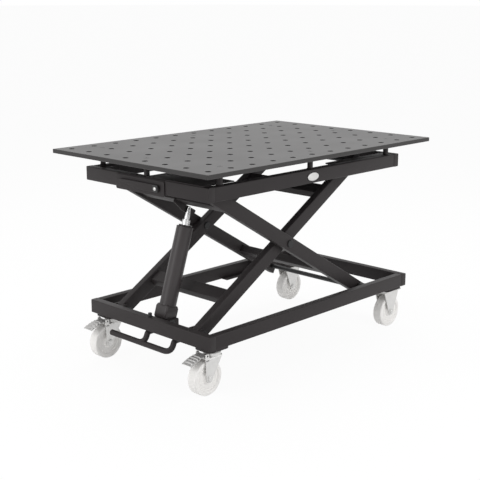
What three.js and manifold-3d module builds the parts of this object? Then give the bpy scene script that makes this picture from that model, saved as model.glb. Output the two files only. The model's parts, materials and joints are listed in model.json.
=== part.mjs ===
// Mobile assembly table: a perforated steel top on a scissor lift, raised by a foot-pumped cylinder.
// Millimetres, +Z up. The origin is on the floor under the middle of the top, +X runs along the long side
// from the pump end to the roller end, and the front is the -Y side.
import * as THREE from 'three';
import { mergeVertices } from 'three/addons/utils/BufferGeometryUtils.js';
import Module from 'manifold-3d';

const wasm = await Module();
wasm.setup();

// Fits
const GAP = 0.3;                    // between pieces that touch or are welded
const RUNNING = 0.4;                // radial play of a pin in its bore
const SIDE_PLAY = 1;                // sideways play of an arm, a roller or a wheel
const WELD = 1;                     // of a welded piece inside the one it is welded to
const OVERCUT = 1;                  // of a cutter past the faces that it cuts

// Facets of round pieces
const PIN_SIDES = 12;
const WHEEL_SIDES = 20;
const NUT_SIDES = 6;
const VENT_SIDES = 8;
const HOLE_SEGMENTS = 4;
const CORNER_SEGMENTS = 3;
const RAIL_SEGMENTS = 2;
const END_SEGMENTS = 8;
const BAR_SEGMENTS = 4;
const PEDAL_STEPS = [12, 24];

// Table top
const TOP_LENGTH = 1196;
const TOP_WIDTH = 796;
const TOP_THICKNESS = 15;
const HOLE_DIAMETER = 20;
const HOLE_PITCH = 100;
const HOLE_EDGE = 40;               // least distance from a hole's centre to the edge
const TOP_OVERHANG = 83;            // from the top's edge to the frame below it
const POST_DIAMETER = 20;
const POST_HEIGHT = 47.5;
const CORNER_POST_INSET = 65;       // from the frame's end to the corner posts
const COVER_THICKNESS = 3;
const COVER_REACH = 145;            // from the frame's end
const COVER_EDGE = 2;               // from the cover to the frame's end and to the end post
const COVER_LAP = 3;                // of the cover on the front rail

// Frames of rectangular tube
const RAIL_HEIGHT = 50;
const RAIL_WIDTH = 30;
const RAIL_WALL = 3;
const RAIL_RADIUS = 4;
const VENT_DIAMETER = 14;           // from each end rail into the long rails
const BASE_EXTENSION = 83;          // how much longer the base is at the roller end
const TRACK_WIDTH = 30;
const TRACK_THICKNESS = 5;
const TRACK_LEAD = 25;              // track left in front of a roller at full height

// Scissor lift
const REST_ANGLE = 31;              // of the arms to the floor, in degrees, as modelled
const FULL_ANGLE = 50;              // at full height
const PIVOT_INSET = 57;             // from the frame's end to the fixed pivots
const ROLLER_INSET = 141.5;         // from the top frame's other end to the rollers, as modelled
const ARM_HEIGHT = 50;
const ARM_THICKNESS = 30;
const ARM_WALL = 3;
const ARM_OVERHANG = 30;            // past the roller axle
const ARM_SPACING = 2;              // between an outer arm and its inner arm
const ROLLER_SPACE = 38;            // between the outer arm and the rail
const CROSS_LENGTH = 50;            // cross tube, along the arm
const CROSS_DEPTH = 30;             // cross tube, across the arm
const CROSS_WALL = 2.5;
const CROSS_INSET = 195;            // from the rollers to the cross tubes near them
const LOW_CROSS_INSET = 178;        // from the fixed pivot to the inner arms' lower cross tube
const ROD_CROSS_INSET = 147;        // from the fixed pivot to the cross tube that the piston rod lifts
const PIN_DIAMETER = 20;
const PIN_HEAD_DIAMETER = 28;
const PIN_HEAD = 5;
const EAR_THICKNESS = 8;
const EAR_RADIUS = 22;
const AXLE_DIAMETER = 18;
const AXLE_COLLAR_DIAMETER = 28;
const ROLLER_WIDTH = 27;

// Foot pump and its cylinder
const PUMP_INSET = 81;              // from the frame's end to the foot pin
const PUMP_RISE = 19;               // of the foot pin above the base's underside
const PUMP_BLOCK = 60;              // sides of the square pump block
const PUMP_BLOCK_START = 10;        // from the foot pin along the cylinder
const PUMP_BLOCK_END = 60;
const PUMP_BLOCK_RADIUS = 6;
const PUMP_FOOT_RADIUS = 17;
const PUMP_FOOT_WIDTH = 60;
const PUMP_PIN_DIAMETER = 18;
const CHEEK_THICKNESS = 6;
const CHEEK_RISE = 12;              // of the bracket above the foot pin
const CHEEK_REACH = 36;             // of the bracket past the foot pin
const TUBE_DIAMETER = 60;
const TUBE_WALL = 5;
const GLAND_LENGTH = 18;
const ROD_DIAMETER = 28;
const ROD_SHOWING = 63;             // from the tube's rim to the rod's eye
const ROD_FLOOR_GAP = 34;           // between the rod and the tube's floor, as modelled
const NECK_LENGTH = 38;
const NECK_DIAMETER = 18;
const NECK_TIP_DIAMETER = 13;
const EYE_PAST = 42.6;              // of the rod's eye past its cross tube, along the arm
const EYE_DROP = 24.3;              // below the arm's centre line
const EYE_DIAMETER = 22;
const EYE_WIDTH = 18;
const EYE_PIN_DIAMETER = 12;
const EYE_PLAY = 8;                 // of the eye pin in the lugs
const LUG_THICKNESS = 6;
const LUG_MARGIN = 6;               // of metal round the lug's hole

// Foot pedal of round bar
const PEDAL_DIAMETER = 18;
const PEDAL_OUT = 2;                // of the foot bar outside the base
const PEDAL_DROP = 52;              // of the foot bar below the base
const PEDAL_END = 208;              // free end of the foot bar, from the middle
const PEDAL_LEGS = [15, -124];      // distance of the legs from the middle
const PEDAL_BEND = 30;
const PEDAL_SHAFT_DROP = 10;        // of the pedal's shaft below the base
const PEDAL_SHAFT_BACK = 6;         // of the pedal's shaft behind the foot pin
const PEDAL_SHAFT_DIAMETER = 16;

// Release lever on the top frame's pump end
const LEVER_PLATE_LENGTH = 251;
const LEVER_PLATE_MIDDLE = 17.5;    // of the plate, from the middle of the end rail
const LEVER_PLATE_THICKNESS = 4;
const LEVER_PLATE_LIP = 7;          // of the plate below the rail
const LEVER_PLATE_STEP = 4;         // of the plate below the rail's top
const LEVER_PIVOT_INSET = 33;       // from the plate's front end
const LEVER_PIVOT_RISE = 20;        // above the rail's underside
const LEVER_LENGTH = 198;
const LEVER_WIDTH = 26;
const LEVER_THICKNESS = 6;
const LEVER_STAND_OFF = 4;
const LEVER_PIN_DIAMETER = 10;

// Casters
const CASTER_PLATE_LENGTH = 96;
const CASTER_PLATE_WIDTH = 80;
const CASTER_PLATE_THICKNESS = 12;
const CASTER_PLATE_RADIUS = 16;
const CASTER_END_INSET = 10.5;      // of the mounting plate from the base's end
const CASTER_SIDE_INSET = 10;
const WHEEL_DIAMETER = 125;
const WHEEL_WIDTH = 38;
const WHEEL_EDGE = 4;
const WHEEL_RECESS = 5;
const WHEEL_DISH = 2;               // slope of the rim's inner side
const RIM_DEPTH = 14;
const HUB_DIAMETER = 40;
const HUB_WIDTH = 42;
const WHEEL_AXLE_DIAMETER = 12;
const AXLE_NUT_DIAMETER = 20;
const AXLE_NUT = 6;
const FORK_THICKNESS = 4;
const FORK_CROWN = 6;
const FORK_CLEARANCE = 6;           // of the crown above the wheel
const SWIVEL_RISE = 18;             // of the swivel head above the crown
const FORK_EYE_RADIUS = 15;
const TRAIL = 35;                   // of a swivel caster's axle behind its swivel axis
const SWIVEL_DIAMETER = 62;
const FORK_FRONT = 27;              // reach of the swivel fork in front of its swivel axis
const BRAKE_HINGE_BACK = 45;        // of the brake's hinge behind the swivel axis
const BRAKE_HINGE_RISE = 7;         // of the brake's hinge above the crown
const BRAKE_HINGE_DIAMETER = 9;
const BRAKE_PIN_DIAMETER = 6;
const BRAKE_EAR_RADIUS = 8;
const BRAKE_LENGTH = 75;
const BRAKE_FALL = 15;              // of the brake's tip below its hinge
const BRAKE_THICKNESS = 3;
const BRAKE_ROOT_WIDTH = 32;
const BRAKE_TIP_WIDTH = 45;

// Heights and places worked out from the sizes above
const rad = THREE.MathUtils.degToRad;
const restAngle = rad(REST_ANGLE);
const frameLength = TOP_LENGTH - 2 * TOP_OVERHANG;
const frameWidth = TOP_WIDTH - 2 * TOP_OVERHANG;
const frameLeft = -frameLength / 2;
const topFrameRight = frameLength / 2;
const baseRight = topFrameRight + BASE_EXTENSION;
const railInnerY = frameWidth / 2 - RAIL_WIDTH;
const railMiddleY = frameWidth / 2 - RAIL_WIDTH / 2;
const armPitch = (frameLength - PIVOT_INSET - ROLLER_INSET) / Math.cos(restAngle);
const pivotX = frameLeft + PIVOT_INSET;
const trackStart = pivotX + armPitch * Math.cos(rad(FULL_ANGLE)) - TRACK_LEAD;
const casterHeight = WHEEL_DIAMETER + FORK_CLEARANCE + FORK_CROWN + SWIVEL_RISE;
const baseBottom = casterHeight + CASTER_PLATE_THICKNESS;
const lowerPivotZ = baseBottom + RAIL_HEIGHT / 2;
const upperPivotZ = lowerPivotZ + armPitch * Math.sin(restAngle);
const topFrameBottom = upperPivotZ - RAIL_HEIGHT / 2;
const topFrameTop = upperPivotZ + RAIL_HEIGHT / 2;
const topUnderside = topFrameTop + POST_HEIGHT;
const outerArmOut = railInnerY - ROLLER_SPACE;
const outerArmIn = outerArmOut - ARM_THICKNESS;
const innerArmOut = outerArmIn - ARM_SPACING;
const innerArmIn = innerArmOut - ARM_THICKNESS;
const rollerRadius = RAIL_HEIGHT / 2 - TRACK_THICKNESS - GAP;
const rollerOut = railInnerY - (ROLLER_SPACE - ROLLER_WIDTH) / 2;
const rollerIn = rollerOut - ROLLER_WIDTH;
const footPin = new THREE.Vector2(frameLeft + PUMP_INSET, baseBottom + PUMP_RISE);
const eyeAlong = ROD_CROSS_INSET + EYE_PAST;
const rodEye = new THREE.Vector2(eyeAlong, -EYE_DROP)
  .rotateAround(new THREE.Vector2(), -restAngle)
  .add(new THREE.Vector2(pivotX, upperPivotZ));
const cylinder = rodEye.clone().sub(footPin);
const eyeDistance = cylinder.length();
const cylinderLean = Math.atan2(cylinder.x, cylinder.y);
const tubeEnd = eyeDistance - ROD_SHOWING;
const tubeFloor = PUMP_BLOCK_END + TUBE_WALL;

// A closed geometry as a solid that can be joined and cut
function solid(geometry) {
  const bare = geometry.index ? geometry.toNonIndexed() : geometry.clone();
  bare.deleteAttribute('normal');
  bare.deleteAttribute('uv');
  const merged = mergeVertices(bare, 1e-4);
  const vertProperties = new Float32Array(merged.attributes.position.array);
  const triVerts = new Uint32Array(merged.index.array);
  return new wasm.Manifold(new wasm.Mesh({ numProp: 3, vertProperties, triVerts }));
}

function geometryOf(manifold) {
  const { vertProperties, triVerts } = manifold.getMesh();
  const geometry = new THREE.BufferGeometry();
  geometry.setAttribute('position', new THREE.BufferAttribute(new Float32Array(vertProperties), 3));
  geometry.setIndex(new THREE.BufferAttribute(new Uint32Array(triVerts), 1));
  geometry.computeVertexNormals();
  return geometry;
}

const join = (...geometries) => geometryOf(
  geometries.map(solid).reduce((whole, piece) => whole.add(piece)));
const cut = (geometry, ...tools) => geometryOf(
  tools.map(solid).reduce((whole, tool) => whole.subtract(tool), solid(geometry)));

// Plates extruded from an outline: lying flat, standing along X, or standing along Y
function extrude(shape, depth, curveSegments) {
  return new THREE.ExtrudeGeometry(shape, { depth, curveSegments, bevelEnabled: false });
}
const plateXY = (shape, z0, z1, segments = 6) => extrude(shape, z1 - z0, segments).translate(0, 0, z0);
const plateXZ = (shape, y0, y1, segments = 6) => extrude(shape, y1 - y0, segments)
  .rotateX(Math.PI / 2).translate(0, y1, 0);
const axesYZX = new THREE.Matrix4().makeBasis(
  new THREE.Vector3(0, 1, 0), new THREE.Vector3(0, 0, 1), new THREE.Vector3(1, 0, 0));
const plateYZ = (shape, x0, x1, segments = 6) => extrude(shape, x1 - x0, segments)
  .applyMatrix4(axesYZX).translate(x0, 0, 0);

function block(x0, x1, y0, y1, z0, z1) {
  return new THREE.BoxGeometry(x1 - x0, y1 - y0, z1 - z0)
    .translate((x0 + x1) / 2, (y0 + y1) / 2, (z0 + z1) / 2);
}

function rodY(diameter, x, z, y0, y1, sides = PIN_SIDES) {
  return new THREE.CylinderGeometry(diameter / 2, diameter / 2, y1 - y0, sides)
    .translate(x, (y0 + y1) / 2, z);
}

// A turned piece on the Y axis, from [radius, y] points that start and end on the axis or close on themselves
function turnedY(points, sides = PIN_SIDES) {
  return new THREE.LatheGeometry(points.map(([r, y]) => new THREE.Vector2(r, y)), sides);
}
const turnedZ = (points, sides) => turnedY(points, sides).rotateX(Math.PI / 2);

// A rectangle with rounded corners, centred on (x, y)
function roundedRectangle(x, y, width, height, radius) {
  const shape = new THREE.Shape();
  const [w, h] = [width / 2 - radius, height / 2 - radius];
  shape.absarc(x + w, y + h, radius, 0, Math.PI / 2);
  shape.absarc(x - w, y + h, radius, Math.PI / 2, Math.PI);
  shape.absarc(x - w, y - h, radius, Math.PI, Math.PI * 1.5);
  shape.absarc(x + w, y - h, radius, Math.PI * 1.5, Math.PI * 2);
  return shape;
}

function rectangle(x0, x1, y0, y1) {
  return new THREE.Shape([[x0, y0], [x1, y0], [x1, y1], [x0, y1]].map((p) => new THREE.Vector2(...p)));
}

// A strip from a straight edge at x0 to a round end about (x, y)
function roundEnded(x0, x, y, radius) {
  const shape = new THREE.Shape();
  shape.moveTo(x0, y - radius);
  shape.absarc(x, y, radius, -Math.PI / 2, Math.PI / 2);
  shape.lineTo(x0, y + radius);
  return shape;
}

// Finishes: each mesh gets a material of its own
const FINISHES = {
  blackPaint: { color: 0x2b2b2d, roughness: 0.6, metalness: 0.2 },
  plateSteel: { color: 0x55565a, roughness: 0.5, metalness: 0.6 },
  blackSteel: { color: 0x1b1b1c, roughness: 0.45, metalness: 0.5 },
  zinc: { color: 0xb4b6b8, roughness: 0.35, metalness: 0.9 },
  chrome: { color: 0xdfe2e4, roughness: 0.08, metalness: 1 },
  nylon: { color: 0xe4e3de, roughness: 0.5, metalness: 0 },
  rollerNylon: { color: 0x3a3a3c, roughness: 0.6, metalness: 0 },
};

function piece(name, geometry, finish) {
  const mesh = new THREE.Mesh(geometry, new THREE.MeshStandardMaterial(FINISHES[finish]));
  mesh.name = name;
  return mesh;
}

const SIDES = [['front', -1], ['rear', 1]];

// A span in Y on the front or the rear side, from its inner and outer distances
const span = (side, inner, outer) => (side < 0 ? [-outer, -inner] : [inner, outer]);

// Table top: flat plate with a grid of through holes
function tableTop() {
  const outline = rectangle(-TOP_LENGTH / 2, TOP_LENGTH / 2, -TOP_WIDTH / 2, TOP_WIDTH / 2);
  const columns = Math.floor((TOP_LENGTH - 2 * HOLE_EDGE) / HOLE_PITCH) + 1;
  const rows = Math.floor((TOP_WIDTH - 2 * HOLE_EDGE) / HOLE_PITCH) + 1;
  for (let column = 0; column < columns; column++) {
    for (let row = 0; row < rows; row++) {
      const hole = new THREE.Path();
      const x = (column - (columns - 1) / 2) * HOLE_PITCH;
      const y = (row - (rows - 1) / 2) * HOLE_PITCH;
      hole.absarc(x, y, HOLE_DIAMETER / 2, 0, Math.PI * 2, true);
      outline.holes.push(hole);
    }
  }
  return piece('table_top', plateXY(outline, topUnderside, topUnderside + TOP_THICKNESS, HOLE_SEGMENTS),
    'plateSteel');
}

// Posts: round spacers that carry the top on the frame, on the rails' centre lines
function posts() {
  const cornerX = frameLength / 2 - CORNER_POST_INSET;
  const endX = frameLength / 2 - RAIL_WIDTH / 2;
  const places = [
    ['front_left', -cornerX, -railMiddleY], ['front_middle', 0, -railMiddleY],
    ['front_right', cornerX, -railMiddleY], ['rear_left', -cornerX, railMiddleY],
    ['rear_middle', 0, railMiddleY], ['rear_right', cornerX, railMiddleY],
    ['left', -endX, 0], ['right', endX, 0],
  ];
  const radius = POST_DIAMETER / 2;
  const height = POST_HEIGHT - 2 * GAP;
  return places.map(([where, x, y]) => {
    const bar = new THREE.CylinderGeometry(radius, radius, height, PIN_SIDES);
    const post = piece(`post_${where}`, bar, 'blackPaint');
    post.rotation.x = Math.PI / 2;
    post.position.set(x, y, topFrameTop + POST_HEIGHT / 2);
    return post;
  });
}

// Cover: a flat sheet welded over the front half of the top frame's pump end
function frameCover() {
  const bottom = topFrameTop + GAP;
  return piece('frame_cover', block(frameLeft + COVER_EDGE, frameLeft + COVER_REACH,
    -railInnerY - COVER_LAP, -POST_DIAMETER / 2 - COVER_EDGE, bottom, bottom + COVER_THICKNESS), 'blackPaint');
}

// A long rail: open tube between the end rails, with the rollers' track welded along its inner face
function longRail(side, left, right, bottom, trackBottom) {
  const middle = side * railMiddleY;
  const section = roundedRectangle(middle, bottom + RAIL_HEIGHT / 2, RAIL_WIDTH, RAIL_HEIGHT, RAIL_RADIUS);
  section.holes.push(rectangle(
    middle - RAIL_WIDTH / 2 + RAIL_WALL, middle + RAIL_WIDTH / 2 - RAIL_WALL,
    bottom + RAIL_WALL, bottom + RAIL_HEIGHT - RAIL_WALL));
  const start = left + RAIL_WIDTH + GAP;
  const end = right - RAIL_WIDTH - GAP;
  const weld = RAIL_WALL / 2 + RAIL_RADIUS;
  const [y0, y1] = span(side, railInnerY - TRACK_WIDTH, railInnerY + weld);
  return join(plateYZ(section, start, end, RAIL_SEGMENTS),
    block(trackStart, end, y0, y1, trackBottom, trackBottom + TRACK_THICKNESS));
}

// An end rail: capped tube over the full width, vented into the long rails
function endRail(left, bottom, inwards) {
  const middle = left + RAIL_WIDTH / 2;
  const centre = bottom + RAIL_HEIGHT / 2;
  const tube = plateXZ(roundedRectangle(middle, centre, RAIL_WIDTH, RAIL_HEIGHT, RAIL_RADIUS),
    -frameWidth / 2, frameWidth / 2, RAIL_SEGMENTS);
  const cavity = block(left + RAIL_WALL, left + RAIL_WIDTH - RAIL_WALL,
    RAIL_WALL - frameWidth / 2, frameWidth / 2 - RAIL_WALL,
    bottom + RAIL_WALL, bottom + RAIL_HEIGHT - RAIL_WALL);
  const vent = VENT_DIAMETER / 2;
  const vents = SIDES.map(([, side]) => new THREE.CylinderGeometry(vent, vent, RAIL_WIDTH, VENT_SIDES)
    .rotateZ(Math.PI / 2).translate(middle + inwards * RAIL_WIDTH / 2, side * railMiddleY, centre));
  return cut(tube, cavity, ...vents);
}

// The pump-end rail of either frame carries a pair of ears for each fixed pivot
function earedRail(bottom, pivotZ, armIn, armOut) {
  const inner = frameLeft + RAIL_WIDTH;
  const outline = roundEnded(inner - RAIL_WALL / 2, pivotX, pivotZ, EAR_RADIUS);
  const bore = new THREE.Path();
  bore.absarc(pivotX, pivotZ, PIN_DIAMETER / 2 + GAP, 0, Math.PI * 2, true);
  outline.holes.push(bore);
  const ears = SIDES.flatMap(([, side]) => [
    span(side, armIn - SIDE_PLAY - EAR_THICKNESS, armIn - SIDE_PLAY),
    span(side, armOut + SIDE_PLAY, armOut + SIDE_PLAY + EAR_THICKNESS),
  ]).map(([y0, y1]) => plateXZ(outline, y0, y1, PIN_SIDES / 2));
  return join(endRail(frameLeft, bottom, 1), ...ears);
}

// A headed pin along Y, holding the pieces between y0 and y1
function headedPin(x, z, y0, y1) {
  const [shank, head] = [PIN_DIAMETER / 2, PIN_HEAD_DIAMETER / 2];
  const [low, high] = [y0 - GAP, y1 + GAP];
  return turnedY([[0, low - PIN_HEAD], [head, low - PIN_HEAD], [head, low], [shank, low],
    [shank, high], [head, high], [head, high + PIN_HEAD], [0, high + PIN_HEAD]]).translate(x, 0, z);
}

function pivotPins(level, pivotZ, armIn, armOut) {
  return SIDES.map(([name, side]) => {
    const [y0, y1] = span(side, armIn - SIDE_PLAY - EAR_THICKNESS, armOut + SIDE_PLAY + EAR_THICKNESS);
    return piece(`${level}_pivot_pin_${name}`, headedPin(pivotX, pivotZ, y0, y1), 'blackSteel');
  });
}

// Top frame with its tracks, its pivot ears and the pins in them
function topFrame() {
  const trackBottom = topFrameTop - TRACK_THICKNESS;
  return [
    ...SIDES.map(([name, side]) => piece(`top_rail_${name}`,
      longRail(side, frameLeft, topFrameRight, topFrameBottom, trackBottom), 'blackPaint')),
    piece('top_rail_left', earedRail(topFrameBottom, upperPivotZ, outerArmIn, outerArmOut), 'blackPaint'),
    piece('top_rail_right', endRail(topFrameRight - RAIL_WIDTH, topFrameBottom, -1), 'blackPaint'),
    ...pivotPins('upper', upperPivotZ, outerArmIn, outerArmOut),
  ];
}

// Base frame with its tracks, its pivot ears and the pins in them
function baseFrame() {
  return [
    ...SIDES.map(([name, side]) => piece(`base_rail_${name}`,
      longRail(side, frameLeft, baseRight, baseBottom, baseBottom), 'blackPaint')),
    piece('base_rail_left', earedRail(baseBottom, lowerPivotZ, innerArmIn, innerArmOut), 'blackPaint'),
    piece('base_rail_right', endRail(baseRight - RAIL_WIDTH, baseBottom, -1), 'blackPaint'),
    ...pivotPins('lower', lowerPivotZ, innerArmIn, innerArmOut),
  ];
}

// An arm along +X from its fixed pivot: capped tube with a round end, bored for two pins and the roller axle
function arm(y0, y1) {
  const outline = (inset) => {
    const half = ARM_HEIGHT / 2 - inset;
    const end = armPitch + ARM_OVERHANG - inset;
    const shape = new THREE.Shape();
    shape.absarc(0, 0, half, Math.PI / 2, Math.PI * 1.5);
    shape.lineTo(end, -half);
    shape.lineTo(end, half);
    return shape;
  };
  const bore = (x, diameter) => rodY(diameter + 2 * RUNNING, x, 0, y0 - OVERCUT, y1 + OVERCUT);
  return cut(plateXZ(outline(0), y0, y1),
    plateXZ(outline(ARM_WALL), y0 + ARM_WALL, y1 - ARM_WALL),
    bore(0, PIN_DIAMETER), bore(armPitch / 2, PIN_DIAMETER), bore(armPitch, AXLE_DIAMETER));
}

// A cross tube between two arms, at a distance along them
function crossTube(along, armFace) {
  const [start, end] = [along - CROSS_LENGTH / 2, along + CROSS_LENGTH / 2];
  const half = CROSS_DEPTH / 2;
  const section = rectangle(start, end, -half, half);
  section.holes.push(rectangle(start + CROSS_WALL, end - CROSS_WALL, CROSS_WALL - half, half - CROSS_WALL));
  return plateXZ(section, GAP - armFace, armFace - GAP);
}

// The cross tube that the piston rod lifts, with two lugs round the rod's eye
function rodCrossTube() {
  const along = ROD_CROSS_INSET;
  const holeRadius = EYE_PIN_DIAMETER / 2 + EYE_PLAY;
  const radius = holeRadius + LUG_MARGIN;
  const weld = CROSS_WALL / 2 - CROSS_DEPTH / 2;
  const reach = CROSS_LENGTH / 2 - CROSS_WALL / 2;
  const lug = new THREE.Shape();
  lug.moveTo(along - reach, weld);
  lug.absarc(eyeAlong, -EYE_DROP, radius, Math.PI * 1.25, Math.PI * 2.5);
  lug.lineTo(along + reach, radius - EYE_DROP);
  lug.lineTo(along + reach, weld);
  const hole = new THREE.Path();
  hole.absarc(eyeAlong, -EYE_DROP, holeRadius, 0, Math.PI * 2, true);
  lug.holes.push(hole);
  const inner = EYE_WIDTH / 2 + SIDE_PLAY;
  const lugs = SIDES.map(([, side]) => plateXZ(lug, ...span(side, inner, inner + LUG_THICKNESS)));
  return join(crossTube(along, outerArmIn), ...lugs);
}

// A rod through both arms and their rollers, with collars between the arm and the roller
function rollerAxle(armOut) {
  const [rod, collar] = [AXLE_DIAMETER / 2, AXLE_COLLAR_DIAMETER / 2];
  const end = railInnerY - SIDE_PLAY;
  const [from, to] = [armOut + GAP, rollerIn - SIDE_PLAY];
  const half = [[rod, from], [collar, from], [collar, to], [rod, to], [rod, end], [0, end]];
  const mirrored = half.map(([r, y]) => [r, -y]).reverse();
  return turnedY([...mirrored, ...half]).translate(armPitch, 0, 0);
}

function roller(name, side) {
  const [y0, y1] = span(side, rollerIn, rollerOut);
  const bore = AXLE_DIAMETER / 2 + RUNNING;
  return piece(name, turnedY([[bore, y0], [rollerRadius, y0], [rollerRadius, y1], [bore, y1], [bore, y0]],
    WHEEL_SIDES).translate(armPitch, 0, 0), 'rollerNylon');
}

// Inner arms: hinged low at the pump end, with rollers under the top frame
function innerArms() {
  const group = new THREE.Group();
  group.position.set(pivotX, 0, lowerPivotZ);
  group.rotation.y = -restAngle;
  for (const [name, side] of SIDES) {
    group.add(piece(`inner_arm_${name}`, arm(...span(side, innerArmIn, innerArmOut)), 'blackPaint'));
    const [y0, y1] = span(side, innerArmIn, outerArmOut);
    group.add(piece(`centre_pin_${name}`, headedPin(armPitch / 2, 0, y0, y1), 'blackSteel'));
    group.add(roller(`upper_roller_${name}`, side));
  }
  group.add(piece('inner_cross_lower', crossTube(LOW_CROSS_INSET, innerArmIn), 'blackPaint'));
  group.add(piece('inner_cross_upper', crossTube(armPitch - CROSS_INSET, innerArmIn), 'blackPaint'));
  group.add(piece('upper_roller_axle', rollerAxle(innerArmOut), 'blackSteel'));
  return group;
}

// Outer arms: hinged high at the pump end, with rollers on the base
function outerArms() {
  const group = new THREE.Group();
  group.position.set(pivotX, 0, upperPivotZ);
  group.rotation.y = restAngle;
  for (const [name, side] of SIDES) {
    group.add(piece(`outer_arm_${name}`, arm(...span(side, outerArmIn, outerArmOut)), 'blackPaint'));
    group.add(roller(`lower_roller_${name}`, side));
  }
  group.add(piece('outer_cross_upper', rodCrossTube(), 'blackPaint'));
  group.add(piece('outer_cross_lower', crossTube(armPitch - CROSS_INSET, outerArmIn), 'blackPaint'));
  group.add(piece('lower_roller_axle', rollerAxle(outerArmOut), 'blackSteel'));
  return group;
}

// Foot pump block with its cylinder tube; +Z of its group runs from the foot pin to the rod's eye
function pumpCylinder() {
  const side = PUMP_BLOCK / 2;
  const foot = new THREE.Shape();
  foot.absarc(0, 0, PUMP_FOOT_RADIUS, Math.PI, Math.PI * 2);
  foot.lineTo(PUMP_FOOT_RADIUS, PUMP_BLOCK_START + CHEEK_THICKNESS);
  foot.lineTo(-PUMP_FOOT_RADIUS, PUMP_BLOCK_START + CHEEK_THICKNESS);
  const body = plateXY(roundedRectangle(0, 0, PUMP_BLOCK, PUMP_BLOCK, PUMP_BLOCK_RADIUS),
    PUMP_BLOCK_START, PUMP_BLOCK_END, CORNER_SEGMENTS);
  const outer = TUBE_DIAMETER / 2;
  const bore = outer - TUBE_WALL;
  const gland = ROD_DIAMETER / 2 + RUNNING;
  const tubeStart = PUMP_BLOCK_END - TUBE_WALL;
  const tube = turnedZ([[0, tubeStart], [outer, tubeStart], [outer, tubeEnd],
    [gland, tubeEnd], [gland, tubeEnd - GLAND_LENGTH], [bore, tubeEnd - GLAND_LENGTH],
    [bore, tubeFloor], [0, tubeFloor]], WHEEL_SIDES);
  const footPlate = plateXZ(foot, -PUMP_FOOT_WIDTH / 2, PUMP_FOOT_WIDTH / 2, END_SEGMENTS);
  return piece('pump_cylinder', cut(join(body, tube, footPlate),
    rodY(PUMP_PIN_DIAMETER + 2 * RUNNING, 0, 0, -side, side)), 'blackPaint');
}

// Piston rod: ground bar with a tapered neck, an eye and the eye's pin
function pistonRod() {
  const start = tubeFloor + ROD_FLOOR_GAP;
  const shoulder = eyeDistance - NECK_LENGTH;
  const rod = turnedZ([[0, start], [ROD_DIAMETER / 2, start], [ROD_DIAMETER / 2, shoulder],
    [NECK_DIAMETER / 2, shoulder], [NECK_TIP_DIAMETER / 2, eyeDistance], [0, eyeDistance]], WHEEL_SIDES);
  const eye = rodY(EYE_DIAMETER, 0, eyeDistance, -EYE_WIDTH / 2, EYE_WIDTH / 2);
  const reach = EYE_WIDTH / 2 + 2 * SIDE_PLAY + LUG_THICKNESS + PIN_HEAD;
  const pin = rodY(EYE_PIN_DIAMETER, 0, eyeDistance, -reach, reach);
  return piece('piston_rod', join(rod, eye, pin), 'chrome');
}

function liftCylinder() {
  const group = new THREE.Group();
  group.position.set(footPin.x, 0, footPin.y);
  group.rotation.y = cylinderLean;
  group.add(pumpCylinder(), pistonRod());
  return group;
}

// Pump bracket: two cheeks and a back plate on the pump-end rail, bored for the foot pin and the pedal
const pedalShaft = new THREE.Vector2(footPin.x - PEDAL_SHAFT_BACK, baseBottom - PEDAL_SHAFT_DROP);
const cheekIn = PUMP_FOOT_WIDTH / 2 + SIDE_PLAY;
const cheekOut = cheekIn + CHEEK_THICKNESS;

function pumpBracket() {
  const back = frameLeft + RAIL_WIDTH + GAP;
  const top = footPin.y + CHEEK_RISE;
  const bottom = pedalShaft.y - PEDAL_SHAFT_DIAMETER;
  const cheek = rectangle(back, footPin.x + CHEEK_REACH, bottom, top);
  const cheeks = SIDES.map(([, side]) => plateXZ(cheek, ...span(side, cheekIn, cheekOut)));
  const past = cheekOut + OVERCUT;
  const web = block(back, back + CHEEK_THICKNESS, -cheekOut, cheekOut, baseBottom, top);
  return piece('pump_bracket', cut(join(web, ...cheeks),
    rodY(PUMP_PIN_DIAMETER + 2 * GAP, footPin.x, footPin.y, -past, past),
    rodY(PEDAL_SHAFT_DIAMETER + 2 * RUNNING, pedalShaft.x, pedalShaft.y, -past, past)), 'blackPaint');
}

function pumpPin() {
  const [shank, head] = [PUMP_PIN_DIAMETER / 2, PIN_HEAD_DIAMETER / 2];
  const end = cheekOut + GAP;
  const half = [[shank, end], [head, end], [head, end + PIN_HEAD], [0, end + PIN_HEAD]];
  const mirrored = half.map(([r, y]) => [r, -y]).reverse();
  return piece('pump_pin', turnedY([...mirrored, ...half]).translate(footPin.x, 0, footPin.y), 'blackSteel');
}

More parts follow.
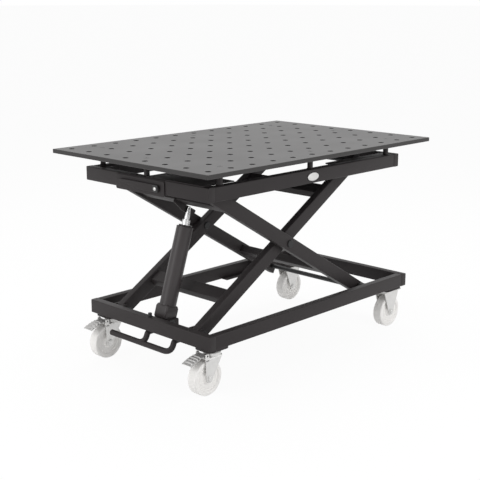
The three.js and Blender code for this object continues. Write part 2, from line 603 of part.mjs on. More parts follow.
// Foot pedal: a foot bar across the end of the base, with two bent legs welded to a shaft in the pump bracket
function footPedal() {
  const barX = frameLeft - PEDAL_OUT;
  const barZ = baseBottom - PEDAL_DROP;
  const rise = PEDAL_BEND * Math.SQRT1_2;
  const section = new THREE.Shape();
  section.absarc(0, 0, PEDAL_DIAMETER / 2, 0, Math.PI * 2);
  const swept = (path, steps) => new THREE.ExtrudeGeometry(section,
    { steps, curveSegments: BAR_SEGMENTS, extrudePath: path, bevelEnabled: false });
  const point = (x, y, z) => new THREE.Vector3(x, y, z);
  const leg = (y, from) => {
    const path = new THREE.CurvePath();
    const bendStart = point(barX, y + PEDAL_BEND, barZ);
    const bendEnd = point(barX + rise, y, barZ + rise);
    path.add(new THREE.LineCurve3(point(barX, from, barZ), bendStart));
    path.add(new THREE.QuadraticBezierCurve3(bendStart, point(barX, y, barZ), bendEnd));
    const corner = point(bendEnd.x + pedalShaft.y - bendEnd.z, y, pedalShaft.y);
    path.add(new THREE.QuadraticBezierCurve3(bendEnd, corner, point(pedalShaft.x, y, pedalShaft.y)));
    return path;
  };
  const starts = [PEDAL_LEGS[0] + 2 * PEDAL_BEND, PEDAL_END];
  const bars = PEDAL_LEGS.map((y, i) => swept(leg(y, starts[i]), PEDAL_STEPS[i]));
  const shaft = rodY(PEDAL_SHAFT_DIAMETER, pedalShaft.x, pedalShaft.y,
    Math.min(...PEDAL_LEGS) - PEDAL_DIAMETER, cheekOut + PIN_HEAD);
  return piece('foot_pedal', join(shaft, ...bars), 'blackPaint');
}

// Release lever: a flat hand lever on a plate across the end of the top frame
const leverFront = LEVER_PLATE_MIDDLE - LEVER_PLATE_LENGTH / 2;
const leverPivot = new THREE.Vector2(leverFront + LEVER_PIVOT_INSET, topFrameBottom + LEVER_PIVOT_RISE);
const leverPlateOut = frameLeft - GAP - LEVER_PLATE_THICKNESS;

function leverPlate() {
  const plate = rectangle(leverFront, leverFront + LEVER_PLATE_LENGTH,
    topFrameBottom - LEVER_PLATE_LIP, topFrameTop - LEVER_PLATE_STEP);
  const pin = new THREE.CylinderGeometry(LEVER_PIN_DIAMETER / 2, LEVER_PIN_DIAMETER / 2,
    LEVER_STAND_OFF + 2 * LEVER_THICKNESS + LEVER_PLATE_THICKNESS / 2, PIN_SIDES).rotateZ(Math.PI / 2)
    .translate(leverPlateOut - (LEVER_STAND_OFF + 2 * LEVER_THICKNESS - LEVER_PLATE_THICKNESS / 2) / 2,
      leverPivot.x, leverPivot.y);
  return piece('lever_plate', join(plateYZ(plate, leverPlateOut, frameLeft - GAP), pin), 'blackPaint');
}

function releaseLever() {
  const half = LEVER_WIDTH / 2;
  const end = leverPivot.x + LEVER_LENGTH - half;
  const outline = new THREE.Shape();
  outline.absarc(leverPivot.x, leverPivot.y, half, Math.PI / 2, Math.PI * 1.5);
  outline.absarc(end, leverPivot.y + half / 2, half / 2, -Math.PI / 2, Math.PI / 2);
  const bore = new THREE.Path();
  bore.absarc(leverPivot.x, leverPivot.y, LEVER_PIN_DIAMETER / 2 + RUNNING, 0, Math.PI * 2, true);
  outline.holes.push(bore);
  const inner = leverPlateOut - LEVER_STAND_OFF;
  return piece('release_lever', plateYZ(outline, inner - LEVER_THICKNESS, inner, END_SEGMENTS), 'blackSteel');
}

// Casters: places of their swivel axes, and which way they face
const leftCasterX = frameLeft + CASTER_END_INSET + CASTER_PLATE_LENGTH / 2;
const rightCasterX = baseRight - CASTER_END_INSET - CASTER_PLATE_LENGTH / 2;
const casterY = frameWidth / 2 - CASTER_SIDE_INSET - CASTER_PLATE_WIDTH / 2;
const wheelRadius = WHEEL_DIAMETER / 2;
const forkIn = HUB_WIDTH / 2 + SIDE_PLAY;
const forkOut = forkIn + FORK_THICKNESS;
const crownBottom = WHEEL_DIAMETER + FORK_CLEARANCE;
const crownTop = crownBottom + FORK_CROWN;

function mountingPlate(name, x, y) {
  const plate = plateXY(roundedRectangle(0, 0, CASTER_PLATE_LENGTH, CASTER_PLATE_WIDTH, CASTER_PLATE_RADIUS),
    casterHeight, baseBottom - GAP, CORNER_SEGMENTS);
  const mesh = piece(`caster_plate_${name}`, plate, 'blackPaint');
  mesh.position.set(x, y, 0);
  return mesh;
}

// Nylon wheel on its axle at (x, wheel radius): tread, recessed web and hub
function casterWheel(name, x) {
  const half = WHEEL_WIDTH / 2;
  const hub = HUB_DIAMETER / 2;
  const rim = wheelRadius - RIM_DEPTH;
  const bore = WHEEL_AXLE_DIAMETER / 2 + RUNNING;
  const right = [[wheelRadius - WHEEL_EDGE, half], [rim, half], [rim - WHEEL_DISH, half - WHEEL_RECESS],
    [hub, half - WHEEL_RECESS], [hub, HUB_WIDTH / 2], [bore, HUB_WIDTH / 2]];
  const left = right.map(([r, y]) => [r, -y]).reverse();
  const tread = [[wheelRadius, WHEEL_EDGE - half], [wheelRadius, half - WHEEL_EDGE]];
  const wheel = piece(`wheel_${name}`, turnedY([...left, ...tread, ...right, left[0]], WHEEL_SIDES), 'nylon');
  wheel.position.set(x, 0, wheelRadius);
  return wheel;
}

function wheelAxle(x) {
  return join(rodY(WHEEL_AXLE_DIAMETER, x, wheelRadius, -forkOut - AXLE_NUT, forkOut + AXLE_NUT),
    ...SIDES.map(([, side]) => rodY(AXLE_NUT_DIAMETER, x, wheelRadius,
      ...span(side, forkOut - WELD, forkOut + AXLE_NUT), NUT_SIDES)));
}

// A fork leg's outline: from a wide top edge down to an eye round the axle
function forkLeg(back, front, top, axleX) {
  const shape = new THREE.Shape();
  shape.moveTo(front, top);
  shape.lineTo(back, top);
  shape.lineTo(axleX - FORK_EYE_RADIUS, wheelRadius);
  shape.absarc(axleX, wheelRadius, FORK_EYE_RADIUS, Math.PI, Math.PI * 2);
  return shape;
}

const brakeHinge = new THREE.Vector2(-BRAKE_HINGE_BACK, crownTop + BRAKE_HINGE_RISE);

// Swivel fork: swivel head, crown, two legs with ears for the brake, and the wheel's axle
function swivelFork(name) {
  const head = new THREE.CylinderGeometry(SWIVEL_DIAMETER / 2, SWIVEL_DIAMETER / 2,
    casterHeight - GAP - crownBottom, WHEEL_SIDES)
    .rotateX(Math.PI / 2).translate(0, 0, (casterHeight - GAP + crownBottom) / 2);
  const back = -BRAKE_HINGE_BACK - BRAKE_EAR_RADIUS;
  const crown = block(back, FORK_FRONT, -forkOut, forkOut, crownBottom, crownTop);
  const ear = new THREE.Shape();
  ear.absarc(brakeHinge.x, brakeHinge.y, BRAKE_EAR_RADIUS, 0, Math.PI);
  ear.lineTo(back, crownTop - WELD);
  ear.lineTo(back + 2 * BRAKE_EAR_RADIUS, crownTop - WELD);
  const legs = SIDES.flatMap(([, side]) => [forkLeg(back, FORK_FRONT, crownTop, -TRAIL), ear]
    .map((outline) => plateXZ(outline, ...span(side, forkIn, forkOut))));
  const fork = join(head, crown, ...legs, wheelAxle(-TRAIL));
  const past = forkOut + OVERCUT;
  return piece(`fork_${name}`, cut(fork,
    rodY(BRAKE_PIN_DIAMETER + 2 * RUNNING, brakeHinge.x, brakeHinge.y, -past, past)), 'zinc');
}

// Fixed fork: top plate, two tapered legs and the wheel's axle
function fixedFork(name) {
  const [half, halfWidth] = [CASTER_PLATE_LENGTH / 2, CASTER_PLATE_WIDTH / 2];
  const plateTop = casterHeight - GAP;
  const plateBottom = plateTop - FORK_THICKNESS;
  const plate = block(-half, half, -halfWidth, halfWidth, plateBottom, plateTop);
  const leg = forkLeg(-half, half, plateBottom + WELD, 0);
  const legs = SIDES.map(([, side]) => plateXZ(leg, ...span(side, forkIn, forkOut)));
  return piece(`fork_${name}`, join(plate, ...legs, wheelAxle(0)), 'zinc');
}

// Brake pedal: pressed plate that hinges on the fork's ears and widens towards the foot
function brakePedal(name) {
  const { x, y: z } = brakeHinge;
  const tip = x - BRAKE_LENGTH;
  const strip = new THREE.Shape();
  strip.moveTo(x, z + BRAKE_THICKNESS);
  strip.quadraticCurveTo(x - BRAKE_LENGTH / 2, z + BRAKE_THICKNESS, tip, z - BRAKE_FALL);
  strip.lineTo(tip, z - BRAKE_FALL - BRAKE_THICKNESS);
  strip.quadraticCurveTo(x - BRAKE_LENGTH / 2, z, x, z);
  const taper = new THREE.Shape([[x + OVERCUT, -BRAKE_ROOT_WIDTH / 2], [x + OVERCUT, BRAKE_ROOT_WIDTH / 2],
    [tip - OVERCUT, BRAKE_TIP_WIDTH / 2], [tip - OVERCUT, -BRAKE_TIP_WIDTH / 2]]
    .map((p) => new THREE.Vector2(...p)));
  const tread = geometryOf(solid(plateXZ(strip, -BRAKE_TIP_WIDTH, BRAKE_TIP_WIDTH))
    .intersect(solid(plateXY(taper, 0, casterHeight))));
  const barrel = rodY(BRAKE_HINGE_DIAMETER, x, z, -forkIn + SIDE_PLAY, forkIn - SIDE_PLAY);
  const pin = rodY(BRAKE_PIN_DIAMETER, x, z, -forkOut, forkOut);
  return piece(`brake_${name}`, join(tread, barrel, pin), 'zinc');
}

function caster(name, x, y, parts) {
  const group = new THREE.Group();
  group.position.set(x, y, 0);
  group.add(...parts);
  return [group, mountingPlate(name, x, y)];
}

function casters() {
  return SIDES.flatMap(([name, side]) => [
    ...caster(`${name}_left`, leftCasterX, side * casterY, [
      swivelFork(`${name}_left`), casterWheel(`${name}_left`, -TRAIL), brakePedal(`${name}_left`)]),
    ...caster(`${name}_right`, rightCasterX, side * casterY, [
      fixedFork(`${name}_right`), casterWheel(`${name}_right`, 0)]),
  ]);
}

const table = new THREE.Group();
table.name = 'assembly_table';
table.add(tableTop(), ...posts(), frameCover(), ...topFrame(), ...baseFrame(), innerArms(), outerArms());
table.add(liftCylinder(), pumpBracket(), pumpPin(), footPedal(), leverPlate(), releaseLever(), ...casters());

export default table;
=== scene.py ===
import json
import math

import bmesh
import bpy
import numpy as np
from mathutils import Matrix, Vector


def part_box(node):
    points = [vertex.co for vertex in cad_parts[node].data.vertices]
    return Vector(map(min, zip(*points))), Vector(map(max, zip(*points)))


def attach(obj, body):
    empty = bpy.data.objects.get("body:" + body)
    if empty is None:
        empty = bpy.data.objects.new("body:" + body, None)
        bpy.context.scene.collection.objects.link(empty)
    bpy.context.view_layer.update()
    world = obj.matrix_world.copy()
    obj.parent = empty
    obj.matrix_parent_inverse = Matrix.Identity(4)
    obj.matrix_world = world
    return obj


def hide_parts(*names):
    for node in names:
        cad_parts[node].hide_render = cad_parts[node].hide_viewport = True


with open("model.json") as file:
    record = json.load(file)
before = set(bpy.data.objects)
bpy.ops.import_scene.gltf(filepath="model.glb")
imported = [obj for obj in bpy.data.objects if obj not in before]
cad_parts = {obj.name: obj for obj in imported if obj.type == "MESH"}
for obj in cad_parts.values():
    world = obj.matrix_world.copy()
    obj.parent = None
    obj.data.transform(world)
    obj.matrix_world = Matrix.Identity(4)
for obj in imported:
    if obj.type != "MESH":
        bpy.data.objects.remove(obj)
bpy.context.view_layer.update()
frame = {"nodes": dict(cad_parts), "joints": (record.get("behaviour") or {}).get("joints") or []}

# Camera
# A long lens at chest height off the front corner of the pump end, looking down a little.
# Its place and its lens come from the grid of holes in the top, as the photograph shows it.
CAMERA_PLACE = (-2.66505, -2.53349, 1.29740)
CAMERA_HEADING = -45.95
CAMERA_DIP = 13.621
CAMERA_LENS = 74.36

camera_data = bpy.data.cameras.new("camera")
camera_data.lens = CAMERA_LENS
camera = bpy.data.objects.new("camera", camera_data)
camera.location = CAMERA_PLACE
camera.rotation_euler = (math.radians(90 - CAMERA_DIP), 0, math.radians(CAMERA_HEADING))
bpy.context.scene.collection.objects.link(camera)
bpy.context.scene.camera = camera

# Studio
# A pale floor and a white surround, lit by soft boxes above and beside the table.
# The floor and the surround look white, and the floor still takes the table's shadow.
SURROUND_LIGHT = 0.55
FLOOR_COLOUR = (0.9, 0.9, 0.9, 1)
FLOOR_GLOW = 0.94
FLOOR_SIZE = 400.0
SOFT_BOXES = {
    "overhead": {"place": (0.3, 0.4, 3.4), "aim": (0, 0, 0.6), "size": 3.0, "power": 75},
    "left": {"place": (-3.4, 0.6, 1.9), "aim": (0, 0, 0.5), "size": 2.2, "power": 38},
    "front": {"place": (0.6, -3.6, 1.7), "aim": (0, 0, 0.5), "size": 2.2, "power": 38},
}
WHITE = (1, 1, 1, 1)


class Wire:
    """A shader socket. Sums, differences and products of wires and numbers add Math nodes to its tree."""

    def __init__(self, tree, socket=None):
        self.tree = tree
        self.socket = socket

    def node(self, kind, settings=None, sockets=None, out=0):
        """Adds a node of a type with its settings and its sockets' values or links, and gives one output."""
        made = self.tree.nodes.new("ShaderNode" + kind)
        for key, value in (settings or {}).items():
            setattr(made, key, value)
        for key, value in (sockets or {}).items():
            if isinstance(value, Wire):
                self.tree.links.new(value.socket, made.inputs[key])
            else:
                made.inputs[key].default_value = value
        return Wire(self.tree, made.outputs[out] if made.outputs else None)

    def combine(self, operation, first, second):
        """The result of one Math node for two wires or numbers."""
        return self.node("Math", {"operation": operation}, {0: first, 1: second})

    def __add__(self, other):
        return self.combine("ADD", self, other)

    def __sub__(self, other):
        return self.combine("SUBTRACT", self, other)

    def __rsub__(self, other):
        return self.combine("SUBTRACT", other, self)

    def __mul__(self, other):
        return self.combine("MULTIPLY", self, other)

    __radd__ = __add__
    __rmul__ = __mul__


def seen_directly(start):
    """One where a ray comes from the camera, a reflection or through glass, and nought elsewhere."""
    path = [start.node("LightPath", out=name)
            for name in ("Is Camera Ray", "Is Glossy Ray", "Is Transmission Ray")]
    return start.combine("MINIMUM", path[0] + path[1] + path[2], 1.0)


def lay_floor():
    """A flat square about the origin whose colour glows towards the camera by a fixed share."""
    half = FLOOR_SIZE / 2
    corners = [(-half, -half, 0), (half, -half, 0), (half, half, 0), (-half, half, 0)]
    mesh = bpy.data.meshes.new("floor")
    mesh.from_pydata(corners, [], [(0, 1, 2, 3)])
    floor = bpy.data.objects.new("floor", mesh)
    bpy.context.scene.collection.objects.link(floor)
    material = bpy.data.materials.new("floor")
    material.use_nodes = True
    tree = material.node_tree
    tree.nodes.clear()
    start = Wire(tree)
    matt = start.node("BsdfDiffuse", None, {"Color": FLOOR_COLOUR})
    glow = start.node("Emission", None, {"Color": WHITE, "Strength": 1.0})
    mixed = start.node("MixShader", None, {0: seen_directly(start) * FLOOR_GLOW, 1: matt, 2: glow})
    start.node("OutputMaterial", None, {"Surface": mixed})
    mesh.materials.append(material)


def light_surround():
    """A white world for the camera and for reflections, and a dimmer one that lights the table."""
    world = bpy.data.worlds.new("surround")
    world.use_nodes = True
    tree = world.node_tree
    tree.nodes.clear()
    start = Wire(tree)
    strength = SURROUND_LIGHT + seen_directly(start) * (1 - SURROUND_LIGHT)
    light = start.node("Background", None, {"Color": WHITE, "Strength": strength})
    start.node("OutputWorld", None, {"Surface": light})
    bpy.context.scene.world = world


def hang_soft_box(name, place, aim, size, power):
    """A square lamp at a place, turned to face a point of the table."""
    data = bpy.data.lights.new(name, "AREA")
    data.size = size
    data.energy = power
    lamp = bpy.data.objects.new(name, data)
    lamp.location = place
    lamp.rotation_euler = (lamp.location - type(lamp.location)(aim)).to_track_quat("Z", "Y").to_euler()
    bpy.context.scene.collection.objects.link(lamp)


lay_floor()
light_surround()
for box_name, box_values in SOFT_BOXES.items():
    hang_soft_box(box_name, **box_values)
bpy.context.scene.view_settings.view_transform = "Standard"

# Table top
# A 15 mm steel plate, ground and darkened, with a grid of clamping holes drilled through it.
# Every hole and the outer edge are broken by a small chamfer, and the hole walls are painted nearly black as
# painted shade for the dark inside each hole.
HOLE_PITCH = 0.1
HOLE_COUNT = (12, 8)
HOLE_RADIUS = 0.010
HOLE_CHAMFER = 0.0004
PLATE_EDGE = 0.0012
HOLE_SIDES = 48
MERGE = 1e-5
SHARP_ANGLE = math.radians(32)
PLATE_COLOURS = ((0.0215, 0.0200, 0.0198, 1), (0.0330, 0.0308, 0.0305, 1))
PLATE_PATCHES = 5.0
PLATE_ROUGHNESS = 0.31
PLATE_UNEVEN = 0.1
PLATE_GLOSS = 0.36
GRIND_STRETCH = (4.0, 260.0, 40.0)
GRIND_GRAIN = 3.0
GRIND_UNEVEN = 0.04
GRIND_DEPTH = 0.00003
WIDE_SHARE = 0.7
FINE_SHARE = 0.3
# Bore colours: painted shade, nearly black, for the dark down each hole.
BORE_SHADE_COLOURS = ((0.006, 0.0055, 0.0055, 1), (0.011, 0.0105, 0.0105, 1))
BORE_STRETCH = (30.0, 30.0, 900.0)
BORE_ROUGHNESS = (0.6, 0.8)
BORE_GLOSS = 0.15


def finish(name, paint):
    """A material. paint takes a start wire and the Object coordinates, and gives the shader's sockets."""
    material = bpy.data.materials.new(name)
    material.use_nodes = True
    tree = material.node_tree
    shader = tree.nodes["Principled BSDF"]
    start = Wire(tree)
    for socket, value in paint(start, start.node("TexCoord", out="Object")).items():
        if isinstance(value, Wire):
            tree.links.new(value.socket, shader.inputs[socket])
        else:
            shader.inputs[socket].default_value = value
    return material


def cloud(start, place, scale, detail=3.0):
    """Soft noise with patches of about 1 / scale metres."""
    return start.node("TexNoise", None, {"Vector": place, "Scale": scale, "Detail": detail})


def blend_of(start, share, first, second):
    """A colour between two, by a share from nought to one."""
    return start.node("Mix", {"data_type": "RGBA"}, {0: share, 6: first, 7: second}, out=2)


def drift(start, share, colours, roughness):
    """A base colour and a roughness, each between its two values by one share from nought to one."""
    return {"Base Color": blend_of(start, share, *colours),
            "Roughness": roughness[0] + share * (roughness[1] - roughness[0])}


def layered(wide, fine):
    """A share that follows wide patches for the most part and a fine grain for the rest."""
    return wide * WIDE_SHARE + fine * FINE_SHARE


def bump(start, height, depth):
    """A normal raised by a height, where a height of one stands out by a depth in metres."""
    return start.node("Bump", None, {"Height": height, "Distance": depth})


def darkened_plate(start, place):
    """Ground steel: long faint grinding marks along X over wide soft patches."""
    marks = start.node("Mapping", None, {"Vector": place, "Scale": GRIND_STRETCH})
    grind = cloud(start, marks, GRIND_GRAIN)
    patches = cloud(start, place, PLATE_PATCHES)
    return {"Base Color": blend_of(start, layered(patches, grind), *PLATE_COLOURS),
            "Roughness": PLATE_ROUGHNESS + patches * PLATE_UNEVEN + grind * GRIND_UNEVEN,
            "Specular IOR Level": PLATE_GLOSS,
            "Normal": bump(start, grind, GRIND_DEPTH)}


def drilled_bore(start, place):
    """Drilled steel painted nearly black as painted shade for the dark down the hole, dull, with turning
    marks round the hole.
    """
    marks = start.node("Mapping", None, {"Vector": place, "Scale": BORE_STRETCH})
    return {**drift(start, cloud(start, marks, 1.0), BORE_SHADE_COLOURS, BORE_ROUGHNESS),
            "Specular IOR Level": BORE_GLOSS}


def object_of(name, points, faces, materials, body, replaced=(), marks=None):
    """A named piece: doubles merged, faces turned outwards, and edges sharp only where they turn steeply.
    marks gives each face the number of its material."""
    mesh = bpy.data.meshes.new(name)
    mesh.from_pydata(points, [], faces)
    if marks is not None:
        mesh.polygons.foreach_set("material_index", marks)
    work = bmesh.new()
    work.from_mesh(mesh)
    bmesh.ops.remove_doubles(work, verts=work.verts, dist=MERGE)
    bmesh.ops.recalc_face_normals(work, faces=work.faces)
    work.to_mesh(mesh)
    work.free()
    mesh.polygons.foreach_set("use_smooth", np.ones(len(mesh.polygons), bool))
    mesh.set_sharp_from_angle(angle=SHARP_ANGLE)
    for material in materials:
        mesh.materials.append(material)
    piece = bpy.data.objects.new(name, mesh)
    bpy.context.scene.collection.objects.link(piece)
    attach(piece, body)
    if replaced:
        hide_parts(*replaced)


def grid_faces(rows, columns, first=0, ring=False):
    """Quads between neighbouring loops of a grid, closed round each loop, and last to first in a ring."""
    i, j = np.meshgrid(np.arange(rows if ring else rows - 1), np.arange(columns), indexing="ij")
    below, beside = (i + 1) % rows, (j + 1) % columns
    corners = [i * columns + j, i * columns + beside, below * columns + beside, below * columns + j]
    return np.stack(corners, -1).reshape(-1, 4) + first


def drilled_plate(low, high):
    """Points and faces of the plate, and which faces lie in a hole. Each hole has a square cell, whose loops
    run from the cell's edge over the top, down the hole and back under the plate. A rim of eased loops
    closes the cells at the plate's edge."""
    turn = np.arange(HOLE_SIDES) / HOLE_SIDES * 2 * np.pi
    circle = np.stack([np.cos(turn), np.sin(turn)], 1)
    square = circle / np.abs(circle).max(1, keepdims=True) * HOLE_PITCH / 2
    mouth = (HOLE_RADIUS + HOLE_CHAMFER) * circle
    wall = HOLE_RADIUS * circle
    flat = np.array([square, mouth, wall, wall, mouth, square])
    height = np.array([high[2], high[2], high[2] - HOLE_CHAMFER, low[2] + HOLE_CHAMFER, low[2], low[2]])
    steps = [(np.arange(count) - (count - 1) / 2) * HOLE_PITCH for count in HOLE_COUNT]
    centres = np.stack(np.meshgrid(*steps, indexing="ij"), -1).reshape(-1, 1, 1, 2)
    limit = high[:2] - PLATE_EDGE
    cells = np.clip(centres + flat, -limit, limit)
    rise = np.broadcast_to(height[:, None, None], (*cells.shape[:3], 1))
    points = np.concatenate([cells, rise], -1)
    count = flat.shape[0] * HOLE_SIDES
    cell_faces = grid_faces(len(flat), HOLE_SIDES)
    faces = (cell_faces[None] + count * np.arange(len(points))[:, None, None]).reshape(-1, 4)
    points = points.reshape(-1, 3)
    edge = np.unique(points[(np.abs(points[:, :2]) > limit - MERGE).any(1), :2].round(6), axis=0)
    edge = edge[np.argsort(np.arctan2(edge[:, 1], edge[:, 0]))]
    outer = edge + np.where(np.abs(edge) > limit - MERGE, np.sign(edge) * PLATE_EDGE, 0)
    rim = [(edge, high[2]), (outer, high[2] - PLATE_EDGE), (outer, low[2] + PLATE_EDGE), (edge, low[2])]
    rim = np.array([np.column_stack([loop, np.full(len(loop), z)]) for loop, z in rim])
    rim_faces = grid_faces(len(rim), len(edge), len(points))
    in_bore = (np.arange(len(flat) - 1) > 0) & (np.arange(len(flat) - 1) < len(flat) - 2)
    marks = np.concatenate([np.tile(np.repeat(in_bore, HOLE_SIDES), len(faces) // len(cell_faces)),
                            np.zeros(len(rim_faces), bool)]).astype(np.int32)
    return np.concatenate([points, rim.reshape(-1, 3)]), np.concatenate([faces, rim_faces]), marks


plate_finish = finish("darkened_plate", darkened_plate)
bore_shade_finish = finish("drilled_bore", drilled_bore)
plate_low, plate_high = np.array(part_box("table_top"))
plate_points, plate_faces, plate_marks = drilled_plate(plate_low, plate_high)
object_of("top_plate", plate_points.tolist(), plate_faces.tolist(), [plate_finish, bore_shade_finish], "top",
          ["table_top"], plate_marks)

# Top screws
# Countersunk socket screws of black steel, all but flush with the plate, one down into each post.
# A hexagon for the key is pressed into every head.
SCREW_HEAD = 0.0095
SCREW_PROUD = 0.0003
SCREW_EASE = 0.6
SCREW_SIDES = 36
NEAR_AXIS = 0.9
SOCKET_FLATS = 0.0040
SOCKET_DEPTH = 0.0035
BLACK_COLOURS = ((0.012, 0.012, 0.0125, 1), (0.022, 0.022, 0.023, 1))
BLACK_PATCHES = 120.0
BLACK_ROUGHNESS = (0.3, 0.45)
BLACK_METAL = 0.35
BLACK_GRAIN = 900.0
BLACK_DEPTH = 0.00002
POSTS = ("front_left", "front_middle", "front_right", "rear_left", "rear_middle", "rear_right",
         "left", "right")


def grained(start, place, scale, depth, detail=2.0):
    """A normal with a fine even grain of about 1 / scale metres, as deep as a depth in metres."""
    return bump(start, cloud(start, place, scale, detail), depth)


def black_oxide(start, place):
    """Oiled black steel, a little uneven in colour and gloss."""
    return {**drift(start, cloud(start, place, BLACK_PATCHES), BLACK_COLOURS, BLACK_ROUGHNESS),
            "Metallic": BLACK_METAL,
            "Normal": grained(start, place, BLACK_GRAIN, BLACK_DEPTH)}


def put(name, shells, material, body, replaced=()):
    """A piece of several shells. A shell is a stack of loops, capped at both ends, or a ring of loops that
    closes on itself, given as a pair with True."""
    points, faces = [], []
    first = 0
    for shell in shells:
        loops, ring = shell if isinstance(shell, tuple) else (shell, False)
        rows, columns = loops.shape[:2]
        points.append(loops.reshape(-1, 3))
        faces += grid_faces(rows, columns, first, ring).tolist()
        if not ring:
            faces.append(list(range(first, first + columns)))
            faces.append(list(range(first + (rows - 1) * columns, first + rows * columns)))
        first += rows * columns
    object_of(name, np.concatenate(points).tolist(), faces, [material], body, replaced)


def turned(profile, origin, axis=(0, 0, 1), sides=32):
    """Loops of a turned piece: each (radius, height) of the profile is a circle about an axis through an
    origin."""
    axis = np.array(axis, float)
    side = np.cross(axis, (0, 1, 0) if abs(axis[1]) < NEAR_AXIS else (1, 0, 0))
    side /= np.linalg.norm(side)
    other = np.cross(axis, side)
    turn = np.arange(sides)[:, None] / sides * 2 * np.pi
    radius, height = np.array(profile, float).T[..., None, None]
    return np.array(origin) + radius * (np.cos(turn) * side + np.sin(turn) * other) + height * axis


def socket_head(centre):
    """Loops of a screw head: the round rim, then a hexagon at the top and one at the socket's floor. A
    hexagon is a circle whose radius is divided by the cosine of the angle to the middle of its flat."""
    profile = [(SCREW_HEAD, -SCREW_PROUD), (SCREW_HEAD, SCREW_PROUD * (1 - SCREW_EASE)),
               (SCREW_HEAD - SCREW_PROUD * SCREW_EASE, SCREW_PROUD), (SOCKET_FLATS, SCREW_PROUD),
               (SOCKET_FLATS, SCREW_PROUD - SOCKET_DEPTH)]
    loops = turned(profile, centre, sides=SCREW_SIDES)
    turn = np.arange(SCREW_SIDES) / SCREW_SIDES * 2 * np.pi
    spread = 1 / np.cos((turn + np.pi / 6) % (np.pi / 3) - np.pi / 6)
    middle = loops[3:].mean(1, keepdims=True)
    loops[3:] = middle + (loops[3:] - middle) * spread[None, :, None]
    return loops


black_finish = finish("black_oxide", black_oxide)
post_middles = [np.array(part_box(f"post_{post}")).mean(0) for post in POSTS]
put("top_screws", [socket_head((*middle[:2], plate_high[2])) for middle in post_middles], black_finish,
    "top")

# Posts
# Round bar cut to length, welded to the top frame and tapped for the screws of the top.
# They are powder coated together with the frame, and a small weld runs round each foot.
POST_RADIUS = 0.010
POST_WELD = 0.0035
WELD_STEPS = 5
COAT_COLOURS = ((0.0238, 0.0203, 0.0208, 1), (0.0328, 0.0284, 0.0290, 1))
COAT_PATCHES = 11.0
COAT_ROUGHNESS = (0.47, 0.57)
COAT_GLOSS = 0.22
PEEL_GRAIN = 700.0
PEEL_DEPTH = 0.00005


def powder_coat(start, place):
    """Anthracite powder coat: fine orange peel, and soft patches that are a little lighter and duller."""
    return {**drift(start, cloud(start, place, COAT_PATCHES), COAT_COLOURS, COAT_ROUGHNESS),
            "Specular IOR Level": COAT_GLOSS,
            "Normal": grained(start, place, PEEL_GRAIN, PEEL_DEPTH)}


def post(middle, low, high):
    """Loops of one post: a hollow-sided weld at its foot and a straight bar above it."""
    flare = np.linspace(0, 1, WELD_STEPS)
    foot = [(POST_RADIUS + POST_WELD * (1 - t) ** 2, low + POST_WELD * t) for t in flare]
    return turned([*foot, (POST_RADIUS, high)], (*middle[:2], 0))


coat_finish = finish("powder_coat", powder_coat)
post_low, post_high = (corner[2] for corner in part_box("post_left"))
put("posts", [post(middle, post_low, post_high) for middle in post_middles],
    coat_finish, "top", [f"post_{name}" for name in POSTS])

# Frames
# Two frames of 50 by 30 mm tube, powder coated; the long rails butt between the end rails. Roller tracks,
# pivot ears and, on the top frame's pump end, a cover sheet are welded on.
RAIL_WIDTH = 0.030
RAIL_RADIUS = 0.0035
RAIL_END = 0.0004
TRACK_THICKNESS = 0.005
TRACK_LEAD = 0.025
EAR_RADIUS = 0.022
EAR_THICKNESS = 0.008
EAR_PLAY = 0.001
PLATE_ROLL = 0.0008
WELD_SINK = 0.0015


def outline_of(corners, radii, steps=6):
    """A closed outline through corners in turn, each rounded by an arc. It is a function of an inset, by
    which every side moves in: the corners move along their bisectors, and the arcs keep their centres."""
    corners = np.array(corners, float)
    radii = np.broadcast_to(np.array(radii, float), len(corners))
    ahead = np.roll(corners, -1, 0) - corners
    ahead /= np.linalg.norm(ahead, axis=1, keepdims=True)
    inward = np.stack([-ahead[:, 1], ahead[:, 0]], 1)
    behind, inward_behind = np.roll(ahead, 1, 0), np.roll(inward, 1, 0)
    turn = np.arctan2(behind[:, 0] * ahead[:, 1] - behind[:, 1] * ahead[:, 0], (behind * ahead).sum(1))
    bisector = (inward + inward_behind) / (1 + (inward * inward_behind).sum(1, keepdims=True))
    angle = turn[:, None] * np.linspace(0, 1, steps)

    def outline(inset):
        radius = np.where(turn > 0, np.maximum(radii - inset, MERGE), radii + inset)
        reach = radius * np.tan(np.abs(turn) / 2)
        arm = -np.sign(turn)[:, None] * inward_behind * radius[:, None]
        centre = corners + inset * bisector - behind * reach[:, None] - arm
        x = centre[:, :1] + arm[:, :1] * np.cos(angle) - arm[:, 1:] * np.sin(angle)
        y = centre[:, 1:] + arm[:, :1] * np.sin(angle) + arm[:, 1:] * np.cos(angle)
        return np.stack([x, y], -1).reshape(-1, 2)

    return outline


def rectangle(low, high, radius):
    """The outline of a rectangle between two corners, rounded by one radius."""
    return outline_of([low, (high[0], low[1]), high, (low[0], high[1])], radius)


def rolled(bottom, top, radius, steps=4):
    """Levels of a plate with rounded edges: an inset and a height for each loop, from face to face."""
    turn = np.linspace(0, np.pi / 2, steps)
    inset, rise = radius * (1 - np.sin(turn)), radius * (1 - np.cos(turn))
    return [*zip(inset, bottom + rise), *zip(inset[::-1], top - rise[::-1])]


def lofted(outline, levels, origin, across, up, along):
    """Loops of an outline, drawn in by each level's inset and set at its height along an axis."""
    flat = np.array([outline(inset) for inset, _ in levels])
    height = np.array([height for _, height in levels])[:, None, None]
    across, up, along = (np.array(axis, float) for axis in (across, up, along))
    return np.array(origin) + flat[..., :1] * across + flat[..., 1:] * up + height * along


def sheet(outline, start, end, axis, radius=PLATE_ROLL):
    """Loops of a flat sheet with rounded edges: an outline in the coordinates of two axes, carried along the
    third from one place to another."""
    unit = np.eye(3)
    across, up = np.delete(unit, axis, 0)
    return lofted(outline, rolled(start, end, radius), (0, 0, 0), across, up, unit[axis])


